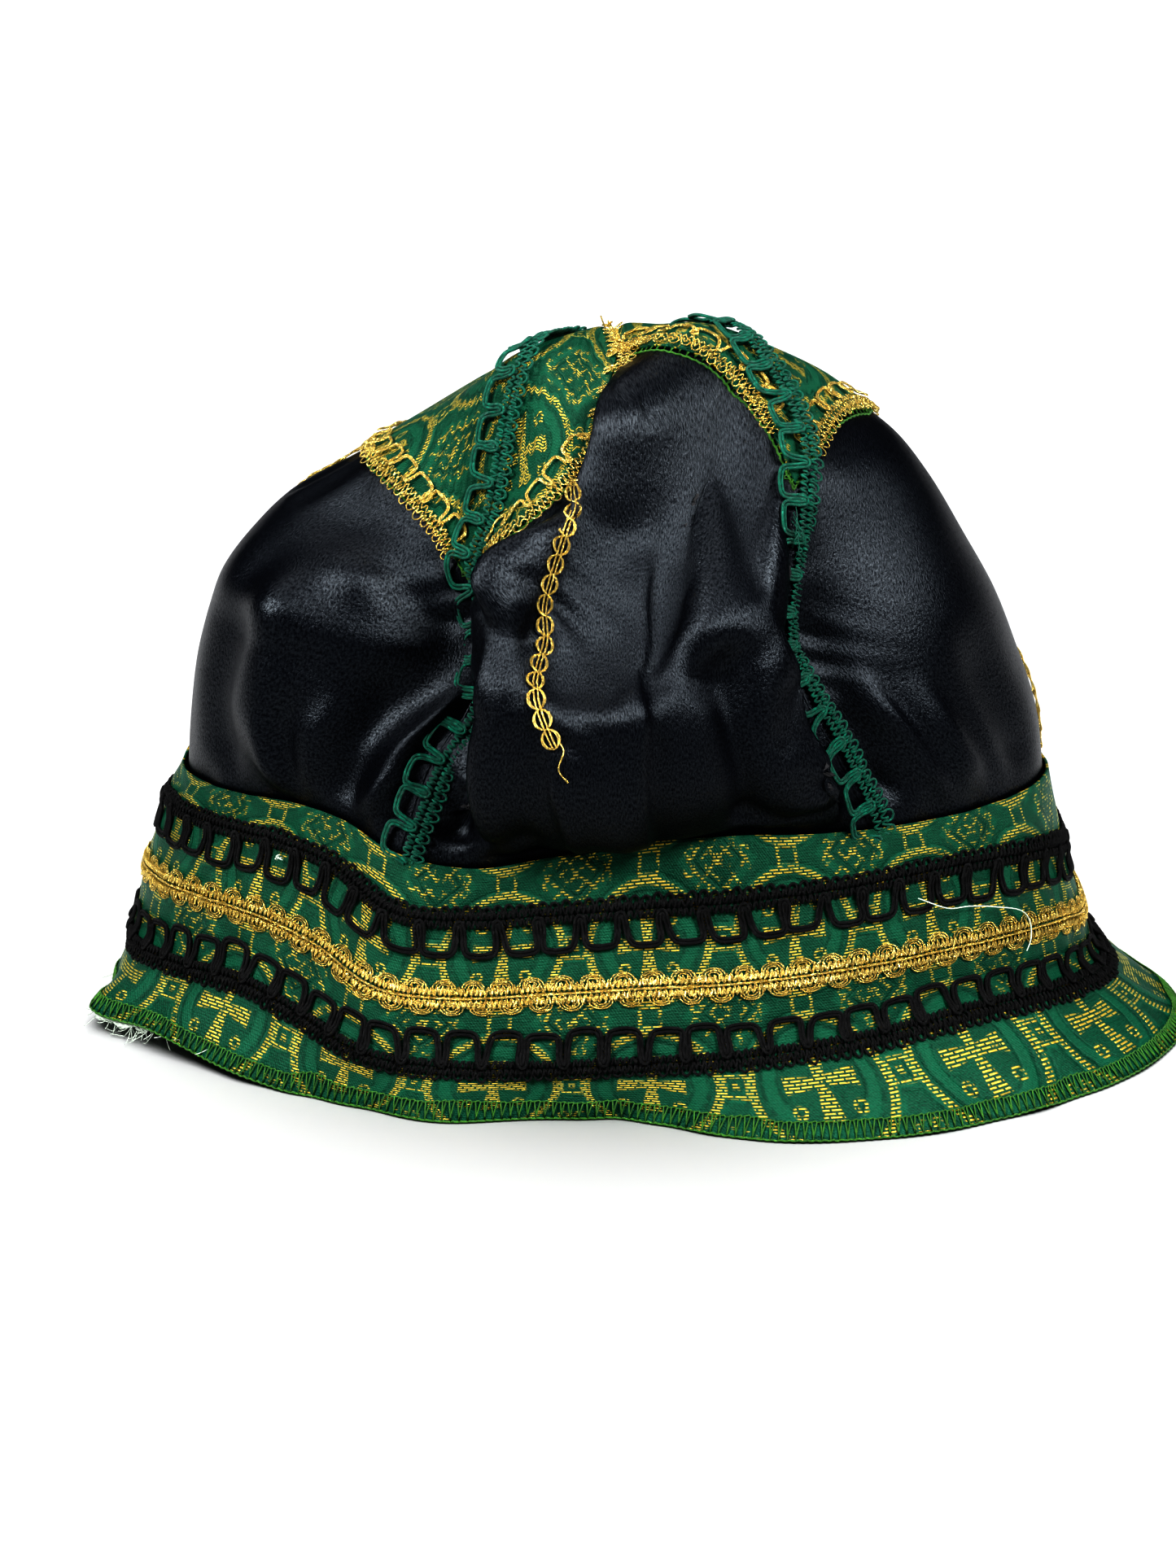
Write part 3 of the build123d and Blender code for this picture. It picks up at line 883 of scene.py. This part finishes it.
class Paint:
    """A material's nodes, put together as sums."""

    def __init__(self, name):
        self.material = bpy.data.materials.new(name)
        self.material.use_nodes = True
        self.tree = self.material.node_tree
        self.shader = self.tree.nodes["Principled BSDF"]

    def join(self, value, socket):
        if isinstance(value, bpy.types.NodeSocket):
            self.tree.links.new(value, socket)
        else:
            socket.default_value = value

    def math(self, operation, *values):
        node = self.tree.nodes.new("ShaderNodeMath")
        node.operation = operation
        for value, socket in zip(values, node.inputs):
            self.join(value, socket)
        return node.outputs[0]

    def plus(self, a, b):
        return self.math("ADD", a, b)

    def minus(self, a, b):
        return self.math("SUBTRACT", a, b)

    def times(self, a, b):
        return self.math("MULTIPLY", a, b)

    def off(self, value, middle):
        return self.math("ABSOLUTE", self.minus(value, middle))

    def far(self, a, b):
        """Distance from the middle to a place a along and b up."""
        return self.math("SQRT", self.plus(self.times(a, a), self.times(b, b)))

    def either(self, *shares):
        whole = shares[0]
        for share in shares[1:]:
            whole = self.math("MAXIMUM", whole, share)
        return whole

    def cloth(self):
        """Places on the cloth, in millimetres: along it and up it."""
        uv = self.tree.nodes.new("ShaderNodeUVMap")
        uv.uv_map = "cloth"
        parts = self.tree.nodes.new("ShaderNodeSeparateXYZ")
        self.tree.links.new(uv.outputs["UV"], parts.inputs[0])
        return self.times(parts.outputs[0], 1 / MM), self.times(parts.outputs[1], 1 / MM)

    def vector(self, x, y, z=0.0):
        node = self.tree.nodes.new("ShaderNodeCombineXYZ")
        for value, socket in zip((x, y, z), node.inputs):
            self.join(value, socket)
        return node.outputs[0]

    def place(self):
        return self.tree.nodes.new("ShaderNodeTexCoord").outputs["Object"]

    def noise(self, vector, scale, detail=2.0, roughness=0.5):
        node = self.tree.nodes.new("ShaderNodeTexNoise")
        self.join(vector, node.inputs["Vector"])
        node.inputs["Scale"].default_value = scale
        node.inputs["Detail"].default_value = detail
        node.inputs["Roughness"].default_value = roughness
        return node.outputs["Fac"]

    def mix(self, share, a, b):
        node = self.tree.nodes.new("ShaderNodeMix")
        node.data_type = "RGBA"
        self.join(share, node.inputs["Factor"])
        self.join((*a, 1) if isinstance(a, tuple) else a, node.inputs["A"])
        self.join((*b, 1) if isinstance(b, tuple) else b, node.inputs["B"])
        return node.outputs["Result"]

    def between(self, value, low, high):
        """0 below low, 1 above high, smooth between."""
        node = self.tree.nodes.new("ShaderNodeMapRange")
        node.interpolation_type = "SMOOTHSTEP"
        self.join(value, node.inputs["Value"])
        node.inputs["From Min"].default_value = low
        node.inputs["From Max"].default_value = high
        return node.outputs["Result"]

    def below(self, value, limit, soft=0.2):
        """1 where value is below limit, 0 above it."""
        return self.minus(1.0, self.between(value, limit - soft, limit + soft))

    def line(self, value, middle, width, soft=0.25):
        """1 where value is within width of middle."""
        return self.below(self.off(value, middle), width, soft)

    def bump(self, height, distance):
        node = self.tree.nodes.new("ShaderNodeBump")
        self.join(height, node.inputs["Height"])
        node.inputs["Distance"].default_value = distance * MM
        node.inputs["Strength"].default_value = 1.0
        return node.outputs["Normal"]

    def set(self, **values):
        for name, value in values.items():
            self.join((*value, 1) if isinstance(value, tuple) else value,
                      self.shader.inputs[name.replace("_", " ")])


def satin_material():
    """Black satin: a fine grain of long floats, with a soft broad gloss."""
    paint = Paint("black_satin")
    x, y = paint.cloth()
    grain = paint.noise(paint.vector(paint.times(x, 2.0), paint.times(y, 1.2)), 1.0, 3.0, 0.7)
    broad = paint.noise(paint.place(), 28.0, 2.0)
    color = paint.mix(grain, (0.0006, 0.0007, 0.0014), (0.0028, 0.0034, 0.0060))
    rough = paint.plus(0.28, paint.times(broad, 0.12))
    gloss = paint.plus(0.08, paint.times(paint.between(grain, 0.3, 0.7), 0.42))
    paint.set(Base_Color=color, Roughness=rough, Normal=paint.bump(grain, 0.22), Specular_IOR_Level=gloss,
              Specular_Tint=(0.82, 0.92, 1.0))
    return paint.material


FIGURE_REPEAT, FIGURE_RING = 38.6, 15.6  # the brocade's repeat and the radius of its rings, in millimetres
FIGURE_HEIGHT = 13.0  # how far above the band's hem the lowest row of figures is
FLOAT_ROW, FLOAT_REPEAT = 0.78, 2.9  # from row to row of gold floats, and from float to float in a row
PALE_GREEN = (0.010, 0.120, 0.066)


def brocade_figure(paint, x, y, patchy):
    """The brocade's figure: its gold, its sunken lines, how dark they are, and the ground's paler stretches.

    Rings stand in rows round four-armed figures, with small squares where they meet and crossed lines
    in the rooms between them. Patches of it are worn away.
    """
    ring, half = FIGURE_RING, FIGURE_REPEAT / 2
    warp = paint.noise(paint.vector(paint.times(x, 0.05), paint.times(y, 0.05)), 1.0, 1.0)
    bent = paint.times(paint.minus(warp, 0.5), 2.5)
    ax = paint.math("PINGPONG", paint.plus(x, bent), half)
    ay = paint.math("PINGPONG", paint.plus(paint.minus(y, FIGURE_HEIGHT), bent), half)
    bx, by = paint.minus(half, ax), paint.minus(half, ay)

    def arm(across, outward, longest):
        """One flared arm of a four-armed figure."""
        edge = paint.minus(across, paint.times(outward, 0.16))
        return paint.times(paint.below(edge, 0.9), paint.below(outward, longest))

    def spot(a, b, middle_a, middle_b):
        """A small ring away from the middle of the figure."""
        return paint.line(paint.far(paint.minus(a, middle_a), paint.minus(b, middle_b)), 1.2, 0.4)

    from_a = paint.far(ax, ay)
    figure = paint.either(arm(ax, ay, 9.0), arm(ay, ax, 8.2), spot(ax, ay, 6.4, 6.4))
    ring_line = paint.line(from_a, ring, 0.95)
    beside_x = paint.math("MAXIMUM", bx, ay)
    beside_y = paint.math("MAXIMUM", ax, by)
    squares = paint.either(paint.line(beside_x, 2.6, 0.45), paint.below(beside_x, 0.8),
                           paint.line(beside_y, 2.6, 0.45))
    diagonal = paint.off(bx, by)
    corner = paint.plus(bx, by)
    filling = paint.either(paint.line(corner, 8.2, 0.55), paint.line(corner, 4.6, 0.5),
                           paint.below(corner, 1.6),
                           paint.times(paint.below(diagonal, 0.6), paint.below(corner, 12.0)),
                           spot(bx, by, 7.6, 1.9), spot(bx, by, 1.9, 7.6))
    worn = paint.between(patchy, 0.30, 0.42)
    sparse = paint.between(patchy, 0.44, 0.56)
    gold = paint.either(paint.times(figure, worn), paint.times(ring_line, worn), paint.times(squares, worn),
                        paint.times(filling, sparse))
    dark_lines = ((from_a, ring - 2.4, 0.45, 0.3), (from_a, ring + 1.9, 0.4, 0.3), (from_a, 9.6, 0.35, 0.3),
                  (corner, 6.4, 0.4, 0.3), (beside_x, 4.2, 0.35, 0.3))
    pale_lines = ((from_a, ring - 4.3, 1.6, 0.8), (from_a, ring + 1.2, 1.0, 0.6), (corner, 10.0, 1.2, 0.6),
                  (beside_x, 3.4, 0.7, 0.4))
    dark = paint.either(*(paint.line(*line) for line in dark_lines))
    paler = paint.either(*(paint.line(*line) for line in pale_lines))
    return gold, dark, paint.times(dark, paint.times(sparse, 0.55)), paler


def brocade_floats(paint, x, y):
    """Where gold thread can float on top: the middle of each row, and the stretches along it."""
    row = paint.math("DIVIDE", y, FLOAT_ROW)
    in_row = paint.off(paint.math("FRACT", row), 0.5)
    float_row = paint.minus(1.0, paint.between(in_row, 0.17, 0.33))
    shift = paint.times(paint.math("FLOOR", row), 0.37)
    in_float = paint.math("FRACT", paint.plus(paint.math("DIVIDE", x, FLOAT_REPEAT), shift))
    unbroken = paint.minus(1.0, paint.between(paint.off(in_float, 0.5), 0.39, 0.45))
    return float_row, unbroken


def brocade_material():
    """Green satin ground with a gold figure woven over it in rows of short floats."""
    paint = Paint("green_brocade")
    x, y = paint.cloth()
    patchy = paint.noise(paint.vector(paint.times(x, 0.9), y), 0.42, 2.0)
    drawn, sunken, darkened, paler = brocade_figure(paint, x, y, patchy)
    float_row, unbroken = brocade_floats(paint, x, y)
    gold = paint.times(drawn, paint.times(float_row, unbroken))
    fine = paint.noise(paint.vector(paint.times(x, 1.3), paint.times(y, 3.4)), 1.0, 3.0, 0.7)
    slant = paint.math("SINE", paint.plus(paint.times(x, 8.5), paint.times(y, 6.0)))
    weave = paint.plus(paint.between(fine, 0.25, 0.8), paint.times(slant, 0.18))
    shade = paint.between(paint.noise(paint.vector(x, y), 0.13, 3.0, 0.6), 0.35, 0.65)
    ground = paint.mix(weave, (0.0008, 0.011, 0.006), (0.007, 0.080, 0.045))
    ground = paint.mix(paint.times(paler, 0.28), ground, PALE_GREEN)
    ground = paint.mix(paint.times(shade, 0.12), ground, PALE_GREEN)
    ground = paint.mix(darkened, ground, (0.0006, 0.014, 0.008))
    thread = paint.mix(paint.noise(paint.vector(x, y), 1.7, 2.0), (0.42, 0.24, 0.02), (0.98, 0.76, 0.17))
    height = paint.plus(paint.times(weave, 0.7), paint.times(gold, 1.3))
    height = paint.minus(height, paint.times(sunken, 0.8))
    height = paint.plus(height, paint.times(float_row, 0.25))
    rough = paint.minus(0.42, paint.times(gold, 0.14))
    paint.set(Base_Color=paint.mix(gold, ground, thread), Roughness=rough, Metallic=paint.times(gold, 0.7),
              Normal=paint.bump(height, 0.2), Specular_IOR_Level=0.4, Specular_Tint=(0.5, 1.0, 0.75))
    return paint.material


CORD_TWIST = 2.2  # half turns of the plies in a millimetre of cord


def cord_material(name, dark, light, roughness, metallic, sheen):
    """Twisted cord: plies that wind round it, with painted shade in the grooves between them and painted
    light on their crests, half and half with fibres in two shades at random.
    """
    paint = Paint(name)
    x, y = paint.cloth()
    turn = paint.plus(paint.times(x, CORD_TWIST * math.pi), paint.times(y, 4 * math.pi / MM))
    # The ply wave paints shade into the grooves and light on the crests, and the same wave makes the bump
    ply_height_and_shade = paint.plus(0.5, paint.times(paint.math("SINE", turn), 0.5))
    fibre = paint.between(paint.noise(paint.place(), 900.0, 3.0, 0.7), 0.25, 0.75)
    share = paint.plus(paint.times(ply_height_and_shade, 0.5), paint.times(fibre, 0.5))
    paint.set(Base_Color=paint.mix(share, dark, light), Normal=paint.bump(share, 0.16), Roughness=roughness,
              Metallic=metallic, Sheen_Weight=sheen, Sheen_Roughness=0.5, Specular_IOR_Level=0.3)
    return paint.material


def plain_weave_material(name, dark, light, roughness, count):
    """A plain woven or non-woven lining cloth: threads over and under, count of them to a millimetre."""
    paint = Paint(name)
    x, y = paint.cloth()
    over = paint.times(paint.math("SINE", paint.times(x, count * math.pi)),
                       paint.math("SINE", paint.times(y, count * math.pi)))
    speck = paint.noise(paint.vector(x, y), 1.3, 3.0, 0.7)
    paint.set(Base_Color=paint.mix(speck, dark, light), Normal=paint.bump(paint.plus(over, speck), 0.08),
              Roughness=roughness)
    return paint.material


# ---------------------------------------------------------------- the whole hat

# Round the star: place round the crown, and distance from the top as a share of the crown's length
STAR_CORNERS = [
    (1 / 8, 0.44), (1 / 4, 0.27), (3 / 8, 0.46), (0.495, 0.37), (0.528, 0.385), (5 / 8, 0.50),
    (0.672, 0.415), (0.715, 0.325), (0.731, 0.265), (0.737, 0.210), (0.766, 0.210), (0.800, 0.252),
    (0.834, 0.312), (7 / 8, 0.42), (0.955, 0.38), (1.02, 0.37),
]
# Where the braid lies along each seam and on over the star: (row up the crown, place round it)
SEAM_LINES = {
    "back_left": [(0.08, 1 / 8), (0.98, 1 / 8)],
    "back_right": [(0.08, 3 / 8), (0.98, 3 / 8)],
    "front_right": [(0.08, 5 / 8), (0.30, 5 / 8), (0.60, 5 / 8), (0.658, 0.630), (0.70, 0.642),
                    (0.76, 0.650), (0.98, 0.650)],
    "front_left": [(0.08, 7 / 8), (0.30, 7 / 8), (0.57, 7 / 8), (0.61, 0.875), (0.65, 0.866),
                   (0.70, 0.851), (0.76, 0.845), (0.98, 0.850)],
}
# Each panel's chain: (row up the crown, place round it), from its lower end to the star
CHAIN_LINES = {
    "left": [(0.08, 0.998), (0.18, 1.0), (0.30, 1.035), (0.44, 1.05), (0.63, 1.02)],
    "back": [(0.08, 0.25), (0.40, 0.252), (0.73, 0.25)],
    "right": [(0.08, 0.455), (0.35, 0.455), (0.50, 0.46), (0.63, 0.48)],
    "front": [(0.30, 0.7165), (0.33, 0.709), (0.37, 0.703), (0.417, 0.705), (0.46, 0.711), (0.50, 0.712),
              (0.542, 0.711), (0.59, 0.711), (0.625, 0.715), (0.66, 0.727)],
}


def star_reach(place):
    """How far the star reaches from the top, at places round the crown; its sides are straight when flat."""
    corners = np.array(STAR_CORNERS + [(9 / 8, STAR_CORNERS[0][1])])
    place = 1 / 8 + np.mod(np.asarray(place) - 1 / 8, 1.0)
    i = np.clip(np.searchsorted(corners[:, 0], place, side="right") - 1, 0, len(corners) - 2)
    turn_a, turn_b = corners[i, 0] * 2 * math.pi, corners[i + 1, 0] * 2 * math.pi
    a = np.stack([np.cos(turn_a), np.sin(turn_a)], -1) * corners[i, 1:2]
    b = np.stack([np.cos(turn_b), np.sin(turn_b)], -1) * corners[i + 1, 1:2]
    ray = np.stack([np.cos(place * 2 * math.pi), np.sin(place * 2 * math.pi)], -1)
    side = b - a
    crossed = ray[..., 0] * side[..., 1] - ray[..., 1] * side[..., 0]
    return (a[..., 0] * side[..., 1] - a[..., 1] * side[..., 0]) / crossed


def make_band(band):
    uv = np.stack(np.meshgrid(band.along, band.up), axis=-1)
    piece = sheet_piece("brocade_band_cloth", band.points, uv, BROCADE, "brocade", "brocade_band")


FRAYED_PLACE = 202  # where round the band the interfacing hangs out, in millimetres from the back


def make_interfacing(band):
    """A strip inside the band. At the viewer's left it hangs out under the hem, with a frayed edge."""
    share = np.linspace(0, 1, 40)[:, None]
    lower = 4 - 6.0 * bump(band.along, FRAYED_PLACE, 17) * (0.9 + 0.1 * np.sin(band.along * 0.9))
    inside = lower + (55 - lower) * share
    flat = np.broadcast_to(band.along, inside.shape)
    downward = unit(band.points[0] - band.points[3])
    below = np.minimum(inside, 0)[..., None]
    grid = band.at(flat, np.maximum(inside, 0), -1.0) - below * downward[None]
    grid[..., 2] = np.maximum(grid[..., 2], 0.4)
    uv = np.stack([flat, inside], axis=-1)
    piece = sheet_piece("interfacing_strip", grid, uv, INTERFACING, "interfacing", "band_interfacing")
    strands = Strands(4)
    chance = np.random.default_rng(9)
    steps = np.linspace(0, 1, 6)[:, None]
    for _ in range(46):
        column = int(np.searchsorted(band.along, chance.normal(FRAYED_PLACE + 4, 13)))
        out = downward[column] + chance.normal(0, 0.5, 3)
        length = chance.uniform(2, 6)
        thread = grid[0, column] + steps * length * out + np.array([0, 0, 1.5]) * steps**2
        thread[:, 2] = np.maximum(thread[:, 2], 0.3)
        strands.add(thread, 0.11, (0, 0, 1))
    strands.piece("interfacing_frayed_edge", "interfacing")


def make_band_braids(band):
    along = band.along[3:-3]
    for name, row, node, side in (("lower_looped_braid", LOWER_BRAID, "lower_black_braid", 1),
                                  ("upper_looped_braid", UPPER_BRAID, "upper_black_braid", -1)):
        loop_braid(name, Route(band, along, row), "black_braid", node, side, seed=int(row))
    gold_row_braid("gold_scalloped_braid", Route(band, along, GOLD_BRAID), "gold_band_braid")
    strands = Strands(4)
    route = Route(band, band.along[1:-1], 0.3)
    edge_stitches(strands, route, HEM_STITCHES, 2.2, 0.2, np.random.default_rng(3))
    strands.piece("hem_stitches", "overlock", "hem_overlock")


def make_satin(crown):
    """The four panels, each from seam to seam."""
    step = PANEL_COLUMNS - 1
    for number, panel in enumerate(PANELS):
        columns = slice(number * step, (number + 1) * step + 1)
        points = crown.points[:, columns]
        uv = np.stack(np.meshgrid(crown.along[columns] * SATIN_SIZE[0], crown.up * SATIN_SIZE[1]), axis=-1)
        piece = sheet_piece(f"satin_panel_{panel}", points, uv, SATIN, "satin", f"{panel}_satin_panel")


def inner_sheet(crown, name, up, depth, thickness, slot, node):
    """A sheet inside the crown, at a depth under the satin's face."""
    along = crown.along[::2]
    grid = crown.at(along[None], up[:, None], -depth)
    uv = np.stack(np.meshgrid(along * LINING_SIZE[0], up * LINING_SIZE[1]), axis=-1)
    return sheet_piece(name, grid, uv, thickness, slot, node)


def make_lining(crown):
    piece = inner_sheet(crown, "lining_cap", crown.up[:-4], 1.8, LINING, "lining", "crown_lining")
    up = np.linspace(0, 0.075, 8)
    piece = inner_sheet(crown, "inner_ribbon", up, 2.6, RIBBON, "ribbon", "sweatband_ribbon")


def make_star(crown):
    """The star, woven like the band, with overlock over its raw edge."""
    reach = star_reach(crown.along)
    share = 1 - np.linspace(0, 1, 70)
    up = 1 - reach[None] * share[:, None]
    points = crown.at(np.broadcast_to(crown.along, up.shape), up, 1.0)
    steps = np.linalg.norm(np.diff(points, axis=0), axis=-1)
    from_top = np.concatenate([np.cumsum(steps[::-1], axis=0)[::-1], np.zeros((1, len(crown.along)))])
    plan = unit(points[..., :2] - points[-1:, :, :2].mean(axis=1, keepdims=True) + 1e-6)
    uv = from_top[..., None] * plan + np.array([30.0, 22.0])
    piece = sheet_piece("star_cloth", points, uv, BROCADE, "brocade", "brocade_star_top")
    strands = Strands(4)
    route = Route(crown, crown.along, 1 - reach - 0.004)
    edge_stitches(strands, route, 3.6, 2.1, 0.22, np.random.default_rng(5))
    strands.piece("star_stitches", "overlock", "star_overlock")


def make_seam_braids(crown):
    """Green braid up each seam and on over the star, which lifts it most where it steps on to its point."""
    for number, (name, line) in enumerate(SEAM_LINES.items()):
        rows, places = zip(*line)
        up = np.linspace(rows[0], rows[-1], 200)
        tip = 1 - float(star_reach(SEAM_PLACES[name]))
        base = 0.9 + 1.2 * np.clip((up - tip) / 0.02, 0, 1) + 0.9 * bump(up, tip + 0.035, 0.03)
        route = Route(crown, through(rows, places, up), up, base, True)
        loop_braid(f"seam_braid_{name}", route, "green_braid", f"green_seam_braid_{name}", 1, number,
                   pitch=9.3, reach=5.2, cord=0.44, heading=4.8)


def make_chains(crown):
    for panel, line in CHAIN_LINES.items():
        rows, places = zip(*line)
        up = np.linspace(rows[0], rows[-1], 140)
        route = Route(crown, through(rows, places, up), up, 0.3, True)
        chain_braid(f"chain_{panel}", route, f"gold_chain_{panel}")


def make_edge_braids(crown):
    """Gold braid along each side of the star, from point to point."""
    points = [place for place, _ in STAR_CORNERS if place in SEAM_PLACES.values()]
    points.append(points[0] + 1)
    for number, panel in enumerate(("back", "right", "front", "left")):
        along = np.linspace(points[number] + 0.006, points[number + 1] - 0.006, 200)
        route = Route(crown, along, 1 - star_reach(along) + 0.02, 1.2, True)
        loop_braid(f"edge_braid_{panel}", route, "gold_braid", f"gold_edge_braid_{panel}", 1, 20 + number,
                   pitch=7.4, reach=3.6, cord=0.24, heading=3.8)


THREAD_UP = (0, -1, 0.3)  # a direction across the loose threads: towards the viewer


def make_cut_end(crown, chance):
    """The edge braid's cut end, which stands up as a tuft at the star's front notch."""
    strands = Strands()
    route = Route(crown, np.linspace(0.742, 0.725, 30), np.linspace(0.785, 0.850, 30), 1.4, True)
    coils(strands, route, -0.8, 2.2, 1.5, 0.3, 0.4, chance)
    coils(strands, route, 1.0, 2.6, 2.3, 0.28, 0.9, chance, 0.4)
    for _ in range(7):
        ahead = route.length - 2 + np.linspace(0, 1, 8) * chance.uniform(1, 3)
        swing = chance.uniform(-2, 2)
        route.cord(strands, ahead, swing + np.linspace(0, chance.uniform(-2, 2), 8),
                   1 + np.linspace(0, chance.uniform(0, 2), 8), 0.22)
    strands.piece("edge_braid_cut_end", "gold_braid")


def make_chain_tail(crown):
    """The front chain's thread, which runs on past its lower end."""
    strands = Strands(4)
    route = Route(crown, np.linspace(0.717, 0.722, 20), np.linspace(0.31, 0.262, 20))
    ahead = np.linspace(0, route.length, 24)
    route.cord(strands, ahead, 0.9 * np.sin(ahead * 0.7), 0.7, 0.2)
    strands.piece("chain_loose_tail", "gold_braid")


def make_white_threads(band, chance):
    """A loose white thread at the viewer's right, and a speck of one on the upper black braid."""
    strands = Strands(4)
    line = np.array([(421, 54.5, 1.5), (428, 51, 3), (436, 50, 2.2), (444, 48.5, 2.6), (451, 47, 3.2),
                     (454.5, 43, 2.5), (454, 38, 2.2), (452.5, 34, 1.6)])
    line = through(np.arange(len(line)), line, np.linspace(0, len(line) - 1, 50))
    strands.add(band.at(line[:, 0], line[:, 1], line[:, 2]), 0.16, THREAD_UP)
    steps = np.linspace(0, 1, 6)
    for _ in range(5):
        place = 238.8 + chance.uniform(-0.8, 0.8, 2).cumsum()
        row = 57 + chance.uniform(-0.8, 0.8, 2).cumsum()
        along, up = (np.interp(steps, (0, 1), ends) for ends in (place, row))
        strands.add(band.at(along, up, 2 + np.sin(3 * steps)), 0.16, THREAD_UP)
    strands.piece("loose_basting_thread", "interfacing")


def make_green_threads(crown, chance):
    """Short threads beside the star's point at the viewer's right."""
    strands = Strands(4)
    steps = np.linspace(0, 1, 10)
    for _ in range(5):
        place, row = 0.872 + chance.uniform(-0.006, 0.004), 0.56 + chance.uniform(-0.03, 0.03)
        along = place + 0.012 * chance.uniform(-1, 1) * steps
        strands.add(crown.at(along, row - 0.04 * steps, 1.5 + 2.5 * np.sin(3 * steps)), 0.14, THREAD_UP)
    strands.piece("loose_green_threads", "green_braid")


# Slot, name, dark and light shade (painted shade for the grooves between plies and painted highlight for
# their crests, together with the fibres' own tones), roughness, metallic share and sheen of each kind of
# cord
CORDS = [
    ("black_braid", "black_cord", (0.0008, 0.0008, 0.001), (0.005, 0.005, 0.006), 0.6, 0.0, 0.02),
    ("gold_braid", "gold_thread", (0.74, 0.46, 0.07), (1.0, 0.88, 0.40), 0.26, 0.85, 0.0),
    ("green_braid", "green_cord", (0.0006, 0.030, 0.020), (0.004, 0.26, 0.165), 0.4, 0.0, 0.08),
    ("overlock", "overlock_thread", (0.015, 0.11, 0.008), (0.11, 0.36, 0.04), 0.5, 0.0, 0.1),
]


def make_materials():
    black, soft_black = (0.004, 0.004, 0.005), (0.016, 0.016, 0.018)
    white = ((0.40, 0.47, 0.40), (0.66, 0.72, 0.64))
    MATERIALS["satin"] = satin_material()
    MATERIALS["brocade"] = brocade_material()
    MATERIALS["lining"] = plain_weave_material("black_lining", black, soft_black, 0.8, 2.0)
    MATERIALS["interfacing"] = plain_weave_material("white_interfacing", *white, 0.9, 1.2)
    MATERIALS["ribbon"] = plain_weave_material("grosgrain", black, (0.02, 0.02, 0.022), 0.6, 1.5)
    for slot, name, dark, light, roughness, metallic, sheen in CORDS:
        MATERIALS[slot] = cord_material(name, dark, light, roughness, metallic, sheen)


def main():
    make_camera()
    make_room()
    make_lights(make_floor())
    make_materials()
    band = band_shape()
    crown = crown_shape(band)
    drape(crown, lambda place: 1 - star_reach(place) + 0.02)
    fold(crown)
    make_band(band)
    make_interfacing(band)
    make_band_braids(band)
    make_satin(crown)
    make_lining(crown)
    make_star(crown)
    make_seam_braids(crown)
    make_chains(crown)
    make_edge_braids(crown)
    loose_ends = np.random.default_rng(13)
    make_cut_end(crown, loose_ends)
    make_chain_tail(crown)
    make_white_threads(band, loose_ends)
    make_green_threads(crown, loose_ends)


main()
